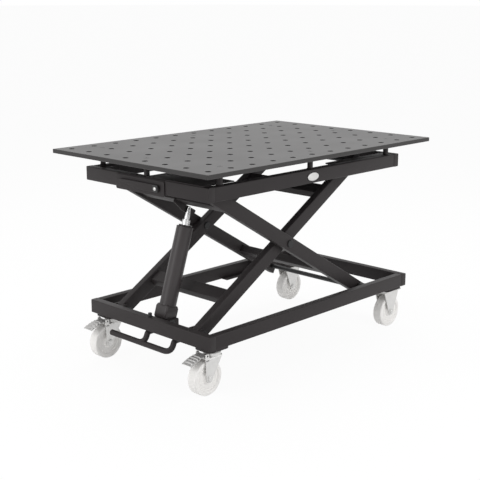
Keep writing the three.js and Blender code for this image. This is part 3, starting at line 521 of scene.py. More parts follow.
def bar(low, high, axis, radius=RAIL_RADIUS, end=RAIL_END):
    """Loops of a tube that fills a box: a rounded rectangle carried along one axis, its ends eased."""
    low, high = np.array(low), np.array(high)
    order = [(axis + 1) % 3, (axis + 2) % 3]
    unit = np.eye(3)
    size = high - low
    return lofted(rectangle((0, 0), size[order], radius), rolled(0, size[axis], end, 3), low,
                  unit[order[0]], unit[order[1]], unit[axis])


pivot = {joint["name"]: np.array(joint["pos_m"]) for joint in frame["joints"] if "pos_m" in joint}
joint_of = {joint["name"]: joint for joint in frame["joints"]}
half_arm = pivot["scissor_centre"] - pivot["lift"]
arm_pitch = 2 * np.linalg.norm(half_arm)
rest_angle = math.atan2(half_arm[2], half_arm[0])
full_angle = rest_angle + math.radians(joint_of["lift"]["range_deg"][1])
track_start = pivot["lift"][0] + arm_pitch * math.cos(full_angle) - TRACK_LEAD


def ears(pivot_place, rail_face, arm):
    """Loops of four ears with round ends about a pivot, on both sides of each of the two arms."""
    start, end = rail_face - WELD_SINK, pivot_place[0] + EAR_RADIUS
    bottom, top = pivot_place[2] - EAR_RADIUS, pivot_place[2] + EAR_RADIUS
    outline = outline_of([(start, bottom), (end, bottom), (end, top), (start, top)],
                         (MERGE, EAR_RADIUS, EAR_RADIUS, MERGE), steps=10)
    shells = []
    for side in ("front", "rear"):
        low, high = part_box(f"{arm}_arm_{side}")
        for face in (low[1] - EAR_PLAY - EAR_THICKNESS, high[1] + EAR_PLAY):
            shells.append(sheet(outline, face, face + EAR_THICKNESS, 1))
    return shells


def frame_rails(level, arm, pivot_place, track_on_top):
    """The four rails of one frame, each a piece of its own, with the tracks and the ears welded on."""
    for side in ("front", "rear"):
        name = f"{level}_rail_{side}"
        low, high = np.array(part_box(name))
        tube_low, tube_high, track_low, track_high = low.copy(), high.copy(), low.copy(), high.copy()
        if side == "front":
            tube_high[1] = low[1] + RAIL_WIDTH
            track_low[1] = tube_high[1] - WELD_SINK
        else:
            tube_low[1] = high[1] - RAIL_WIDTH
            track_high[1] = tube_low[1] + WELD_SINK
        track_low[0] = track_start
        if track_on_top:
            track_low[2] = high[2] - TRACK_THICKNESS
        else:
            track_high[2] = low[2] + TRACK_THICKNESS
        tube = bar(tube_low, tube_high, 0)
        track = bar(track_low, track_high, 0, PLATE_ROLL, PLATE_ROLL)
        put(f"{name}_tube", [tube, track], coat_finish, level, [name])
    for side in ("left", "right"):
        name = f"{level}_rail_{side}"
        low, high = np.array(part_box(name))
        high[0] = low[0] + RAIL_WIDTH
        shells = [bar(low, high, 1)]
        if side == "left":
            shells += ears(pivot_place, high[0], arm)
        put(f"{name}_tube", shells, coat_finish, level, [name])


frame_rails("top", "outer", pivot["top_pivot"], True)
frame_rails("base", "inner", pivot["lift"], False)
cover = bar(*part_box("frame_cover"), 1, PLATE_ROLL, PLATE_ROLL)
put("frame_cover_sheet", [cover], coat_finish, "top", ["frame_cover"])

# Scissor arms
# Four arms of the same tube, rounded at the fixed pivot and cut square past the roller.
# Cross tubes are welded between the two inner arms and between the two outer arms.
ARM_HALF = 0.025
ARM_EDGE = 0.0035
ARM_OVERHANG = 0.030
ARM_CORNER = 0.001
CROSS_LENGTH = 0.050
CROSS_DEPTH = 0.030
CROSS_EDGE = 0.0025
CROSS_INSET = 0.195
LOW_CROSS_INSET = 0.178
ROD_CROSS_INSET = 0.147
CROSS_PLACES = {"inner_cross_lower": LOW_CROSS_INSET, "inner_cross_upper": arm_pitch - CROSS_INSET,
                "outer_cross_upper": ROD_CROSS_INSET, "outer_cross_lower": arm_pitch - CROSS_INSET}
LUG_ENDS = (0.120, 0.234)
LUG_DEPTHS = (0.026, 0.038, 0.024)
LUG_FLAT = (0.172, 0.212)
LUG_RADII = (MERGE, 0.003, 0.010, 0.010, 0.008, 0.004)
LUG_START = 0.010
LUG_THICKNESS = 0.006

arm_frames = {
    "inner": (pivot["lift"], np.array([math.cos(rest_angle), 0, math.sin(rest_angle)]),
              np.array([-math.sin(rest_angle), 0, math.cos(rest_angle)])),
    "outer": (pivot["top_pivot"], np.array([math.cos(rest_angle), 0, -math.sin(rest_angle)]),
              np.array([math.sin(rest_angle), 0, math.cos(rest_angle)])),
}
arm_end = arm_pitch + ARM_OVERHANG
arm_outline = outline_of([(-ARM_HALF, -ARM_HALF), (arm_end, -ARM_HALF), (arm_end, ARM_HALF),
                          (-ARM_HALF, ARM_HALF)],
                         (ARM_HALF, ARM_CORNER, ARM_CORNER, ARM_HALF), steps=12)


def cross_tube(along, low, high, origin, direction, across):
    """Loops of a cross tube: its rounded section at a distance along the arms, carried from arm to arm."""
    start, end = along - CROSS_LENGTH / 2, along + CROSS_LENGTH / 2
    section = rectangle((start, -CROSS_DEPTH / 2), (end, CROSS_DEPTH / 2), CROSS_EDGE)
    return lofted(section, [(0, low), (0, high)], origin, direction, across, (0, 1, 0))


def lug(origin, direction, across):
    """Loops of the lug that the rod's pin lifts: a plate behind the rod, deepest about the pin."""
    sink = CROSS_EDGE - CROSS_DEPTH / 2
    outline = outline_of([(LUG_ENDS[0], sink), (LUG_ENDS[0], -LUG_DEPTHS[0]), (LUG_FLAT[0], -LUG_DEPTHS[1]),
                          (LUG_FLAT[1], -LUG_DEPTHS[1]), (LUG_ENDS[1], -LUG_DEPTHS[2]), (LUG_ENDS[1], sink)],
                         LUG_RADII, steps=8)
    levels = rolled(LUG_START, LUG_START + LUG_THICKNESS, PLATE_ROLL)
    return lofted(outline, levels, origin, direction, across, (0, 1, 0))


for pair, (origin, direction, across) in arm_frames.items():
    for side in ("front", "rear"):
        name = f"{pair}_arm_{side}"
        low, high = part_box(name)
        levels = rolled(low[1], high[1], ARM_EDGE, steps=5)
        put(f"{name}_tube", [lofted(arm_outline, levels, origin, direction, across, (0, 1, 0))],
            coat_finish, f"{pair}_arms", [name])
for name, along in CROSS_PLACES.items():
    pair = name.split("_")[0]
    origin, direction, across = arm_frames[pair]
    low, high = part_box(name)
    shells = [cross_tube(along, low[1], high[1], origin, direction, across)]
    if name == "outer_cross_upper":
        shells.append(lug(origin, direction, across))
    put(f"{name}_tube", shells, coat_finish, f"{pair}_arms", [name])

# Pivot pins, axles and rollers
# Turned pins of black steel with chamfered heads join the arms to each other and to the frames, and hold the
# pump's foot. Black nylon rollers run on plain axles of black steel that reach through both arms.
PIN_RADIUS = 0.010
PIN_EASE = 0.0008
PIN_HEAD = 0.005
PIN_SIDES = 40
AXLE_RADIUS = 0.009
ROLLER_PLAY = 0.0004
ROLLER_ROUND = 0.002
ROLLER_COLOURS = ((0.018, 0.018, 0.0185, 1), (0.03, 0.03, 0.031, 1))
ROLLER_PATCHES = 60.0
ROLLER_ROUGHNESS = (0.5, 0.62)
ROLLER_GRAIN = 600.0
ROLLER_DEPTH = 0.00004


def black_nylon(start, place):
    """Matt black plastic with soft patches and a fine grain."""
    return {**drift(start, cloud(start, place, ROLLER_PATCHES), ROLLER_COLOURS, ROLLER_ROUGHNESS),
            "Normal": grained(start, place, ROLLER_GRAIN, ROLLER_DEPTH)}


def headed_pin(node):
    """Loops of a pin along Y with a chamfered head at both ends, turned about its middle line."""
    low, high = np.array(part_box(node))
    middle = (low + high) / 2
    head = (high[0] - low[0]) / 2
    half = (high[1] - low[1]) / 2
    neck = half - PIN_HEAD
    side = [(PIN_RADIUS, neck), (head - PIN_EASE, neck), (head, neck + PIN_EASE),
            (head, half - 2 * PIN_EASE), (head - 2 * PIN_EASE, half)]
    profile = [(radius, -height) for radius, height in reversed(side)] + side
    return turned(profile, middle, (0, 1, 0), PIN_SIDES)


roller_finish = finish("black_nylon", black_nylon)
for body, nodes in {
    "base": ["lower_pivot_pin_front", "lower_pivot_pin_rear", "pump_pin"],
    "top": ["upper_pivot_pin_front", "upper_pivot_pin_rear"],
    "inner_arms": ["centre_pin_front", "centre_pin_rear"],
}.items():
    for node in nodes:
        put(f"{node}_turned", [headed_pin(node)], black_finish, body, [node])
for level in ("upper", "lower"):
    axle_mesh = frame["nodes"][f"{level}_roller_axle"].data
    axle_mesh.materials.clear()
    axle_mesh.materials.append(black_finish)
    for side in ("front", "rear"):
        node = f"{level}_roller_{side}"
        low, high = np.array(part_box(node))
        half, radius = (high[1] - low[1]) / 2, (high[2] - low[2]) / 2
        inner = AXLE_RADIUS + ROLLER_PLAY
        profile = [(inner, -half), (radius - ROLLER_ROUND, -half), (radius, ROLLER_ROUND - half),
                   (radius, half - ROLLER_ROUND), (radius - ROLLER_ROUND, half), (inner, half)]
        roller = turned(profile, (low + high) / 2, (0, 1, 0), PIN_SIDES)
        put(f"{node}_turned", [(roller, True)], roller_finish, f"roller_{level}_{side}",
            [node])

# Lift cylinder
# A cast pump block at the foot of a drawn steel tube, both painted, with a gland nut screwed into the rim.
# The ground and chromed rod ends in a tapered neck, whose black pin lifts the upper cross tube by a lug.
TURNED_EASE = 0.001
BLOCK_HALF = 0.030
BLOCK_CORNER = 0.006
BLOCK_START = 0.010
BLOCK_END = 0.060
BLOCK_LEVELS = ((0.003, BLOCK_START), (0.001, BLOCK_START + 0.001), (0, BLOCK_START + 0.003),
                (0, BLOCK_END - 0.010), (0.004, BLOCK_END - 0.002), (0.007, BLOCK_END))
FOOT_RADIUS = 0.017
FOOT_HALF = 0.030
FOOT_LAP = 0.004
TUBE_RADIUS = 0.030
TUBE_EASE = 0.0015
TUBE_LAP = 0.004
GLAND_RADIUS = 0.0235
GLAND_RISE = 0.005
GLAND_DEPTH = 0.010
ROD_RADIUS = 0.014
ROD_PLAY = 0.0006
ROD_INSIDE = 0.240
ROD_SHOWING = 0.063
NECK_LENGTH = 0.038
NECK_STRAIGHT = 0.012
NECK_RADIUS = 0.0090
ROD_TIP_RADIUS = 0.0065
ROD_TIP_REACH = 0.010
ROD_TIP_EASE = 0.002
EYE_PIN = 0.005
EYE_PIN_START = -0.006
EYE_PIN_END = 0.020
CHROME_COLOURS = ((0.55, 0.55, 0.55, 1), (0.66, 0.66, 0.66, 1))
CHROME_HAZE = 90.0
CHROME_ROUGHNESS = (0.16, 0.28)
# The pump's colours are the frame coat's made lighter: painted light for the highlight on the round tube and
# block.
CYLINDER_LIT_COLOURS = ((0.0390, 0.0338, 0.0346, 1), (0.0500, 0.0435, 0.0445, 1))
CYLINDER_PATCHES = 14.0
CYLINDER_ROUGHNESS = (0.34, 0.44)
CYLINDER_GLOSS = 0.34
CYLINDER_GRAIN = 600.0
CYLINDER_DEPTH = 0.00003


def hard_chrome(start, place):
    """Polished chrome with a faint uneven haze."""
    return {**drift(start, cloud(start, place, CHROME_HAZE), CHROME_COLOURS, CHROME_ROUGHNESS),
            "Metallic": 1.0}


def cylinder_paint(start, place):
    """The frame's charcoal paint made a little lighter, as painted light for the highlight the round tube
    catches, with soft patches and a sprayed grain.
    """
    return {**drift(start, cloud(start, place, CYLINDER_PATCHES), CYLINDER_LIT_COLOURS, CYLINDER_ROUGHNESS),
            "Specular IOR Level": CYLINDER_GLOSS,
            "Normal": grained(start, place, CYLINDER_GRAIN, CYLINDER_DEPTH)}


lit_cylinder_finish = finish("cylinder_paint", cylinder_paint)
chrome_finish = finish("hard_chrome", hard_chrome)
foot = pivot["pump_lean"]
lean = np.array(joint_of["piston"]["axis"])
lean /= np.linalg.norm(lean)
lean_across = np.array([lean[2], 0, -lean[0]])
tube_top = (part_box("pump_cylinder")[1][2] - foot[2] - TUBE_RADIUS * lean[0]) / lean[2]
eye_distance = tube_top + ROD_SHOWING


def eased_bar(radius, start, end, ease=TURNED_EASE):
    """Profile of a round bar between two heights, chamfered at both ends."""
    return [(radius - ease, start), (radius, start + ease), (radius, end - ease), (radius - ease, end)]


block_outline = rectangle((-BLOCK_HALF, -BLOCK_HALF), (BLOCK_HALF, BLOCK_HALF), BLOCK_CORNER)
block = lofted(block_outline, BLOCK_LEVELS, foot, lean_across, (0, 1, 0), lean)
foot_top = BLOCK_START + FOOT_LAP
foot_outline = outline_of([(-FOOT_RADIUS, foot_top), (-FOOT_RADIUS, -FOOT_RADIUS),
                           (FOOT_RADIUS, -FOOT_RADIUS), (FOOT_RADIUS, foot_top)],
                          (MERGE, FOOT_RADIUS, FOOT_RADIUS, MERGE), steps=10)
foot_levels = rolled(-FOOT_HALF, FOOT_HALF, PLATE_ROLL)
foot_plate = lofted(foot_outline, foot_levels, foot, lean_across, lean, (0, 1, 0))
tube_start = BLOCK_END - TUBE_LAP
gland_top = tube_top + GLAND_RISE
tube = turned([(TUBE_RADIUS - TURNED_EASE, tube_start), (TUBE_RADIUS, tube_start + TURNED_EASE),
               (TUBE_RADIUS, tube_top - TUBE_EASE), (TUBE_RADIUS - TUBE_EASE, tube_top),
               (GLAND_RADIUS, tube_top), (GLAND_RADIUS, gland_top - TURNED_EASE),
               (GLAND_RADIUS - TURNED_EASE, gland_top), (ROD_RADIUS + ROD_PLAY, gland_top),
               (ROD_RADIUS + ROD_PLAY, tube_top - GLAND_DEPTH)], foot, lean, sides=56)
put("lift_cylinder", [block, foot_plate, tube], lit_cylinder_finish, "pump", ["pump_cylinder"])
neck_start = eye_distance - NECK_LENGTH
tip_end = eye_distance + ROD_TIP_REACH
rod = turned([(ROD_RADIUS, tube_top - ROD_INSIDE), (ROD_RADIUS, neck_start - TURNED_EASE),
              (ROD_RADIUS - TURNED_EASE, neck_start), (NECK_RADIUS, neck_start),
              (NECK_RADIUS, neck_start + NECK_STRAIGHT), (ROD_TIP_RADIUS, eye_distance),
              (ROD_TIP_RADIUS, tip_end - ROD_TIP_EASE), (ROD_TIP_RADIUS - ROD_TIP_EASE, tip_end)],
             foot, lean, sides=40)
put("chromed_rod", [rod], chrome_finish, "rod", ["piston_rod"])
eye_pin = turned(eased_bar(EYE_PIN, EYE_PIN_START, EYE_PIN_END), foot + eye_distance * lean, (0, 1, 0))
put("rod_pin", [eye_pin], black_finish, "rod")

# Pump bracket
# Two cheeks and a back plate, laser cut and welded to the pump end rail.
# The pump's foot pin and the pedal's shaft pass through the cheeks.
CHEEK_THICKNESS = 0.006
CHEEK_SIDE = 0.037
CHEEK_TOE = 0.012
CHEEK_RADII = (0.002, 0.010, 0.010, 0.006, 0.006, 0.002)
BACK_PLATE_INSET = 0.001

bracket_low, bracket_high = np.array(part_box("pump_bracket"))
cheek_middle = pivot["pump_pedal"][0]
cheek_back, cheek_front = bracket_low[0], bracket_high[0]
cheek_bottom, cheek_top = bracket_low[2], bracket_high[2]
cheek_shoulder = cheek_top - CHEEK_SIDE
cheek_outline = outline_of([(cheek_back, cheek_shoulder), (cheek_middle - CHEEK_TOE, cheek_bottom),
                            (cheek_middle + CHEEK_TOE, cheek_bottom), (cheek_front, cheek_shoulder),
                            (cheek_front, cheek_top), (cheek_back, cheek_top)], CHEEK_RADII)
cheeks = [sheet(cheek_outline, start, start + CHEEK_THICKNESS, 1)
          for start in (bracket_low[1], bracket_high[1] - CHEEK_THICKNESS)]
back_low = (cheek_back, bracket_low[1] + BACK_PLATE_INSET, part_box("base_rail_left")[0][2])
back_high = (cheek_back + CHEEK_THICKNESS, bracket_high[1] - BACK_PLATE_INSET, cheek_top)
back_plate = bar(back_low, back_high, 1, PLATE_ROLL, PLATE_ROLL)
put("bracket_cheeks", [*cheeks, back_plate], coat_finish, "base", ["pump_bracket"])

# Foot pedal
# One bent bar with a second leg welded on, both legs welded to a shaft in the pump bracket.
# The free end of the foot bar is rounded off.
PEDAL_RADIUS = 0.0105
PEDAL_LEGS = (0.015, -0.124)
PEDAL_BEND = 0.042
LEG_RISE = 0.031
LEG_SLOPE = math.radians(68)
LEG_TURN = 0.010
WELDED_SHARE = 0.96
WELD_REACH = 1.5 * PEDAL_BEND
DOME_START = 0.05
DOME_STEPS = 7
PEDAL_SIDES = 20
SHAFT_RADIUS = 0.008
SHAFT_PROUD = 0.005
BEND_STEPS = 14


def curve_through(first, middle, last, steps=BEND_STEPS):
    """Points of the parabola that leaves one point towards a middle one and arrives at the last."""
    share = np.linspace(0, 1, steps)[:, None]
    return (1 - share) ** 2 * first + 2 * share * (1 - share) * middle + share ** 2 * last


pedal_low, pedal_high = np.array(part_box("foot_pedal"))
pedal_shaft = pivot["pump_pedal"]
bar_x, bar_z = pedal_low[0] + PEDAL_RADIUS, pedal_low[2] + PEDAL_RADIUS
leg_way = np.array([math.cos(LEG_SLOPE), 0, math.sin(LEG_SLOPE)])


def pedal_leg(y, far_end, rounded):
    """Path of a leg and its radii: along the foot bar, round a bend, steeply up, then level to the shaft."""
    bar_end = np.array([bar_x, far_end, bar_z])
    bend_start = np.array([bar_x, y + PEDAL_BEND, bar_z])
    bend_end = np.array([bar_x, y, bar_z]) + LEG_RISE * leg_way
    level = bend_end + (pedal_shaft[2] - bend_end[2]) / leg_way[2] * leg_way
    arrive = np.array([pedal_shaft[0], y, pedal_shaft[2]])
    dome = np.linspace(0, np.pi / 2, DOME_STEPS)
    cap = bar_end - np.outer(PEDAL_RADIUS * np.sin(dome), (0, 1, 0))
    start = cap if rounded else bar_end[None]
    bend = curve_through(bend_start, np.array([bar_x, y, bar_z]), bend_end)
    rise = curve_through(level - LEG_TURN * leg_way, level, level + np.array([LEG_TURN, 0, 0]))
    rise = np.concatenate([rise, arrive[None]])
    radii = np.full(len(start) + len(bend) + len(rise), PEDAL_RADIUS)
    if rounded:
        radii[:len(cap)] = PEDAL_RADIUS * np.maximum(np.sin(dome), DOME_START)
    else:
        radii[:len(start) + BEND_STEPS // 3] *= WELDED_SHARE
    return np.concatenate([start, bend, rise]), radii


def leg_loops(y, far_end, rounded):
    """Loops of one leg: circles across its path, which turns into a second plane past the bend."""
    path, radii = pedal_leg(y, far_end, rounded)
    along = np.gradient(path, axis=0)
    along /= np.linalg.norm(along, axis=1, keepdims=True)
    side = np.cross((-leg_way[2], 0, leg_way[0]), along)
    side /= np.linalg.norm(side, axis=1, keepdims=True)
    other = np.cross(along, side)
    turn = np.arange(PEDAL_SIDES)[:, None] / PEDAL_SIDES * 2 * np.pi
    circles = np.cos(turn) * side[:, None] + np.sin(turn) * other[:, None]
    return path[:, None] + radii[:, None, None] * circles


shaft = turned(eased_bar(SHAFT_RADIUS, pedal_low[1], bracket_high[1] + SHAFT_PROUD),
               (pedal_shaft[0], 0, pedal_shaft[2]), (0, 1, 0), sides=24)
put("bent_pedal", [leg_loops(PEDAL_LEGS[0], PEDAL_LEGS[0] + WELD_REACH, False),
                   leg_loops(PEDAL_LEGS[1], pedal_high[1], True), shaft],
    coat_finish, "pedal", ["foot_pedal"])

# Release lever
# A pressed plate screwed to the end rail carries a flat hand lever that lets the oil back.
# The lever swings on a bright shouldered bolt near the front.
LEVER_PLATE_THICKNESS = 0.004
LEVER_PLATE_CORNER = 0.006
LEVER_TIP = 0.004
LEVER_TIP_ROUND = 0.9 * LEVER_TIP
GRIP_BEND_PLACE = 0.11
GRIP_BEND_RADIUS = 0.16
GRIP_SAG = 0.001
GRIP_ROUND = 0.95
GRIP_ROLL = 0.0015
WASHER_HALF = 0.012
WASHER_CORNER = 0.002
WASHER_THICKNESS = 0.0015
WASHER_ROLL = 0.0005

lever_low, lever_high = np.array(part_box("lever_plate"))
lever_pivot = pivot["release"]
plate_outline = rectangle(lever_low[1:], lever_high[1:], LEVER_PLATE_CORNER)
lever_plate = sheet(plate_outline, lever_high[0] - LEVER_PLATE_THICKNESS, lever_high[0], 0)
put("release_plate", [lever_plate], coat_finish, "top", ["lever_plate"])
grip_low, grip_high = np.array(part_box("release_lever"))
grip_end = (grip_high[2] - grip_low[2]) / 2 * GRIP_ROUND
grip_outline = outline_of([(grip_low[1], grip_low[2]),
                           (grip_low[1] + GRIP_BEND_PLACE, grip_low[2] - GRIP_SAG),
                           (grip_high[1], grip_high[2] - 2 * LEVER_TIP), (grip_high[1], grip_high[2]),
                           (grip_low[1], grip_high[2])],
                          (grip_end, GRIP_BEND_RADIUS, LEVER_TIP_ROUND, LEVER_TIP_ROUND, grip_end), steps=8)
grip = sheet(grip_outline, grip_low[0], grip_high[0], 0, GRIP_ROLL)
put("hand_lever", [grip], coat_finish, "lever", ["release_lever"])
# A square spacer behind the lever. Its black is painted shade for the dark square recess round the bolt.
washer_outline = rectangle(lever_pivot[1:] - WASHER_HALF, lever_pivot[1:] + WASHER_HALF, WASHER_CORNER)
washer = sheet(washer_outline, grip_low[0] - WASHER_THICKNESS, grip_low[0], 0, WASHER_ROLL)
put("lever_washer", [washer], roller_finish, "top")

# Casters
# Nylon wheels in pressed forks of zinc plated steel: swivelling ones with a foot brake at the pump end,
# fixed ones at the other. Each is screwed under a black mounting plate that is welded to the base.
WHEEL_ROUND = 0.004
SHOULDER_STEPS = 5
WHEEL_HALF = 0.019
WHEEL_SIDES = 72
RIM_DEPTH = 0.014
RIM_SIDE = ((0.0015, 0.005), (0, 0.004), (-0.002, 0.001), (-0.003, 0), (-0.010, 0), (-0.011, 0.0012),
            (-0.013, 0.0012), (-0.014, 0))
RECESS = 0.005
HUB_RADIUS = 0.020
HUB_HALF = 0.021
HUB_EASE = 0.002
WHEEL_BORE = 0.0064
CORNERS = ("front_left", "rear_left", "front_right", "rear_right")
NYLON_COLOURS = ((0.87, 0.855, 0.835, 1), (0.94, 0.925, 0.905, 1))
NYLON_PATCHES = 22.0
NYLON_ROUGHNESS = (0.38, 0.52)
NYLON_GRAIN = 500.0
NYLON_DEPTH = 0.00004
ZINC_COLOURS = ((0.60, 0.595, 0.585, 1), (0.77, 0.765, 0.755, 1))
ZINC_PATCHES = 70.0
ZINC_ROUGHNESS = 0.32
ZINC_UNEVEN = 0.16
ZINC_METAL = 0.7
ZINC_GRAIN = 420.0
ZINC_DETAIL = 2.0
ZINC_DEPTH = 0.00003
TREAD_COLOURS = ((0.20, 0.196, 0.192, 1), (0.68, 0.672, 0.664, 1))
TREAD_PATCHES = 160.0
TREAD_ROUGHNESS = (0.32, 0.47)
TREAD_METAL = 0.6
FORK_IN = 0.022
FORK_THICKNESS = 0.004
FORK_BEND = 0.008
FORK_BEND_STEPS = 7
FORK_LEG_STEPS = 26
FORK_EYE = 0.015
FORK_CUT = 0.0002
CROWN_TOP = 0.137
AXLE_BOLT = 0.006
NUT_RADIUS = 0.0100
NUT_CORNER = 0.0004
NUT_HEIGHT = 0.006
NUT_LEVELS = ((0, 0), (0, 0.6 * NUT_HEIGHT), (0.0012, 0.78 * NUT_HEIGHT))
HEAD_RADIUS = 0.031
HEAD_FOOT = (0.004, 0.003)
HEAD_GROOVE = 0.002
GROOVE_DROPS = (0.008, 0.006, 0.003, 0.002)
CASTER_PLATE_CORNER = 0.016
CASTER_PLATE_ROLL = 0.001
TRAIL = 0.035
FORK_BACK = 0.053
FORK_FRONT = 0.027
FLANGE_THICKNESS = 0.004
FLANGE_CORNER = 0.008
FLANGE_LAP = 0.001
BRAKE_EAR_HALF = 0.008
BRAKE_EAR_LAP = 0.012
BRAKE_LENGTH = 0.072
BRAKE_ROOT = 0.040
BRAKE_TIP = 0.045
BRAKE_FALL = 0.019
BRAKE_SHEET = 0.003
BRAKE_TURN = 0.002
BRAKE_TURN_POWER = 8
BRAKE_GRID = (61, 13)
BRAKE_BARREL = 0.0045
BARREL_EASE = 0.0006
BARREL_PLAY = 0.001
BRAKE_PIN = 0.003
RIB_HEIGHT = 0.0028
RIB_COUNT = 6
RIB_START = 0.2
RIB_ONSET = 8
RIB_SIDE_ONSET = 6

wheel_low, wheel_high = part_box("wheel_front_left")
axle_z = (wheel_low[2] + wheel_high[2]) / 2
fork_bottom = axle_z - FORK_EYE + FORK_CUT
fork_out = FORK_IN + FORK_THICKNESS
flange_low, flange_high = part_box("fork_front_right")
flange_half = (flange_high[0] - flange_low[0]) / 2
flange_bottom = flange_high[2] - FLANGE_THICKNESS + FLANGE_LAP


def moulded_nylon(start, place):
    """Natural nylon: milky, with faint cloudy patches and a fine moulded grain."""
    return {**drift(start, cloud(start, place, NYLON_PATCHES), NYLON_COLOURS, NYLON_ROUGHNESS),
            "Normal": grained(start, place, NYLON_GRAIN, NYLON_DEPTH)}


def zinc_plating(start, place):
    """Bright zinc with the soft spangle and dull patches of barrel plating."""
    patches = cloud(start, place, ZINC_PATCHES)
    fine = cloud(start, place, ZINC_GRAIN, ZINC_DETAIL)
    return {"Base Color": blend_of(start, layered(patches, fine), *ZINC_COLOURS),
            "Metallic": ZINC_METAL,
            "Roughness": ZINC_ROUGHNESS + patches * ZINC_UNEVEN,
            "Normal": bump(start, fine, ZINC_DEPTH)}


def worn_tread(start, place):
    """Dull pressed steel of the brakes, darker than the forks and a little scuffed."""
    return {**drift(start, cloud(start, place, TREAD_PATCHES), TREAD_COLOURS, TREAD_ROUGHNESS),
            "Metallic": TREAD_METAL}


nylon_finish = finish("moulded_nylon", moulded_nylon)
tread_finish = finish("worn_tread", worn_tread)
zinc_finish = finish("zinc_plating", zinc_plating)


def caster_wheel(name):
    """A ring turned about its axle: a flat tread, round shoulders, dished sides with a bead, and a hub."""
    low, high = np.array(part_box(f"wheel_{name}"))
    radius = (high[2] - low[2]) / 2
    rim = radius - RIM_DEPTH
    dish = WHEEL_HALF - RECESS
    ease = np.linspace(0, np.pi / 2, SHOULDER_STEPS)
    tread = [(radius - WHEEL_ROUND * (1 - math.cos(a)), WHEEL_HALF - WHEEL_ROUND * (1 - math.sin(a)))
             for a in ease]
    side = [*tread, *[(rim + step, dish + rise) for step, rise in RIM_SIDE],
            (HUB_RADIUS + HUB_EASE, dish), (HUB_RADIUS, dish + HUB_EASE),
            (HUB_RADIUS - HUB_EASE / 2, HUB_HALF - HUB_EASE / 2), (HUB_RADIUS - HUB_EASE, HUB_HALF),
            (WHEEL_BORE, HUB_HALF)]
    profile = [(r, -y) for r, y in reversed(side)] + [(radius, 0)] + side
    wheel = turned(profile, (low + high) / 2, (0, 1, 0), WHEEL_SIDES)
    put(f"nylon_wheel_{name}", [(wheel, True)], nylon_finish, f"caster_wheel_{name}",
        [f"wheel_{name}"])


def hexagon(radius):
    """The outline of a hexagon by the distance to its corners."""
    turn = np.arange(6) * np.pi / 3
    return outline_of(np.stack([np.cos(turn), np.sin(turn)], 1) * radius, NUT_CORNER, steps=2)


def pressed_fork(origin, crown_top, reach_at):
    """Loops of a pressed fork, one sheet bent into an upturned U. One parameter runs up one leg, over the
    crown and down the other; at each step the sheet spans from its back edge to its front edge there."""
    turn = np.linspace(0, np.pi / 2, FORK_BEND_STEPS)
    leg = np.linspace(fork_bottom, crown_top - FORK_BEND, FORK_LEG_STEPS)
    corner_y = fork_out - FORK_BEND * (1 - np.cos(turn))
    corner_z = crown_top - FORK_BEND * (1 - np.sin(turn))
    y = np.concatenate([np.full(len(leg), fork_out), corner_y[1:]])
    z = np.concatenate([leg, corner_z[1:]])
    normal_y = np.concatenate([np.ones(len(leg)), np.cos(turn[1:])])
    normal_z = np.concatenate([np.zeros(len(leg)), np.sin(turn[1:])])
    y, z = np.concatenate([y, -y[::-1]]), np.concatenate([z, z[::-1]])
    normal_y = np.concatenate([normal_y, -normal_y[::-1]])
    normal_z = np.concatenate([normal_z, normal_z[::-1]])
    back, front = reach_at(z)
    ease = np.minimum(PLATE_ROLL, (front - back) / 4)
    deep = FORK_THICKNESS - PLATE_ROLL
    ring = ((back, 1, 0), (front, -1, 0), (front, 0, PLATE_ROLL), (front, 0, deep),
            (front, -1, FORK_THICKNESS), (back, 1, FORK_THICKNESS), (back, 0, deep), (back, 0, PLATE_ROLL))
    columns = [np.stack([edge + inset * ease, y - normal_y * depth, z - normal_z * depth], -1)
               for edge, inset, depth in ring]
    return np.array(origin) + np.stack(columns, 1)


def eye_half(z):
    """Half the width of a fork's eye by height: its radius above the axle, and a circle's chord below."""
    return np.sqrt(np.maximum(FORK_EYE ** 2 - np.minimum(z - axle_z, 0) ** 2, 0))


def swivel_reach(z):
    """Back and front edges of a swivel fork by height: a taper from the crown to the eye, then the eye."""
    share = np.clip((z - axle_z) / (CROWN_TOP - axle_z), 0, 1)
    back = -TRAIL - eye_half(z) + share * (TRAIL + FORK_EYE - FORK_BACK)
    front = -TRAIL + eye_half(z) + share * (TRAIL - FORK_EYE + FORK_FRONT)
    return back, front


def fixed_reach(z):
    """Back and front edges of a fixed fork by height: a taper from the flange to the eye, then the eye."""
    share = np.clip((z - axle_z) / (flange_bottom - axle_z), 0, 1)
    half = eye_half(z) + share * (flange_half - FORK_EYE)
    return -half, half


def axle_nuts(middle):
    """Loops of the axle and of a chamfered hexagon nut on each side of the fork."""
    axle_end = fork_out + NUT_HEIGHT
    shells = [turned(eased_bar(AXLE_BOLT, -axle_end, axle_end), middle, (0, 1, 0), sides=20)]
    for side in (-1, 1):
        levels = [(inset, side * (fork_out + rise)) for inset, rise in NUT_LEVELS]
        shells.append(lofted(hexagon(NUT_RADIUS), levels, middle, (1, 0, 0), (0, 0, 1), (0, 1, 0)))
    return shells


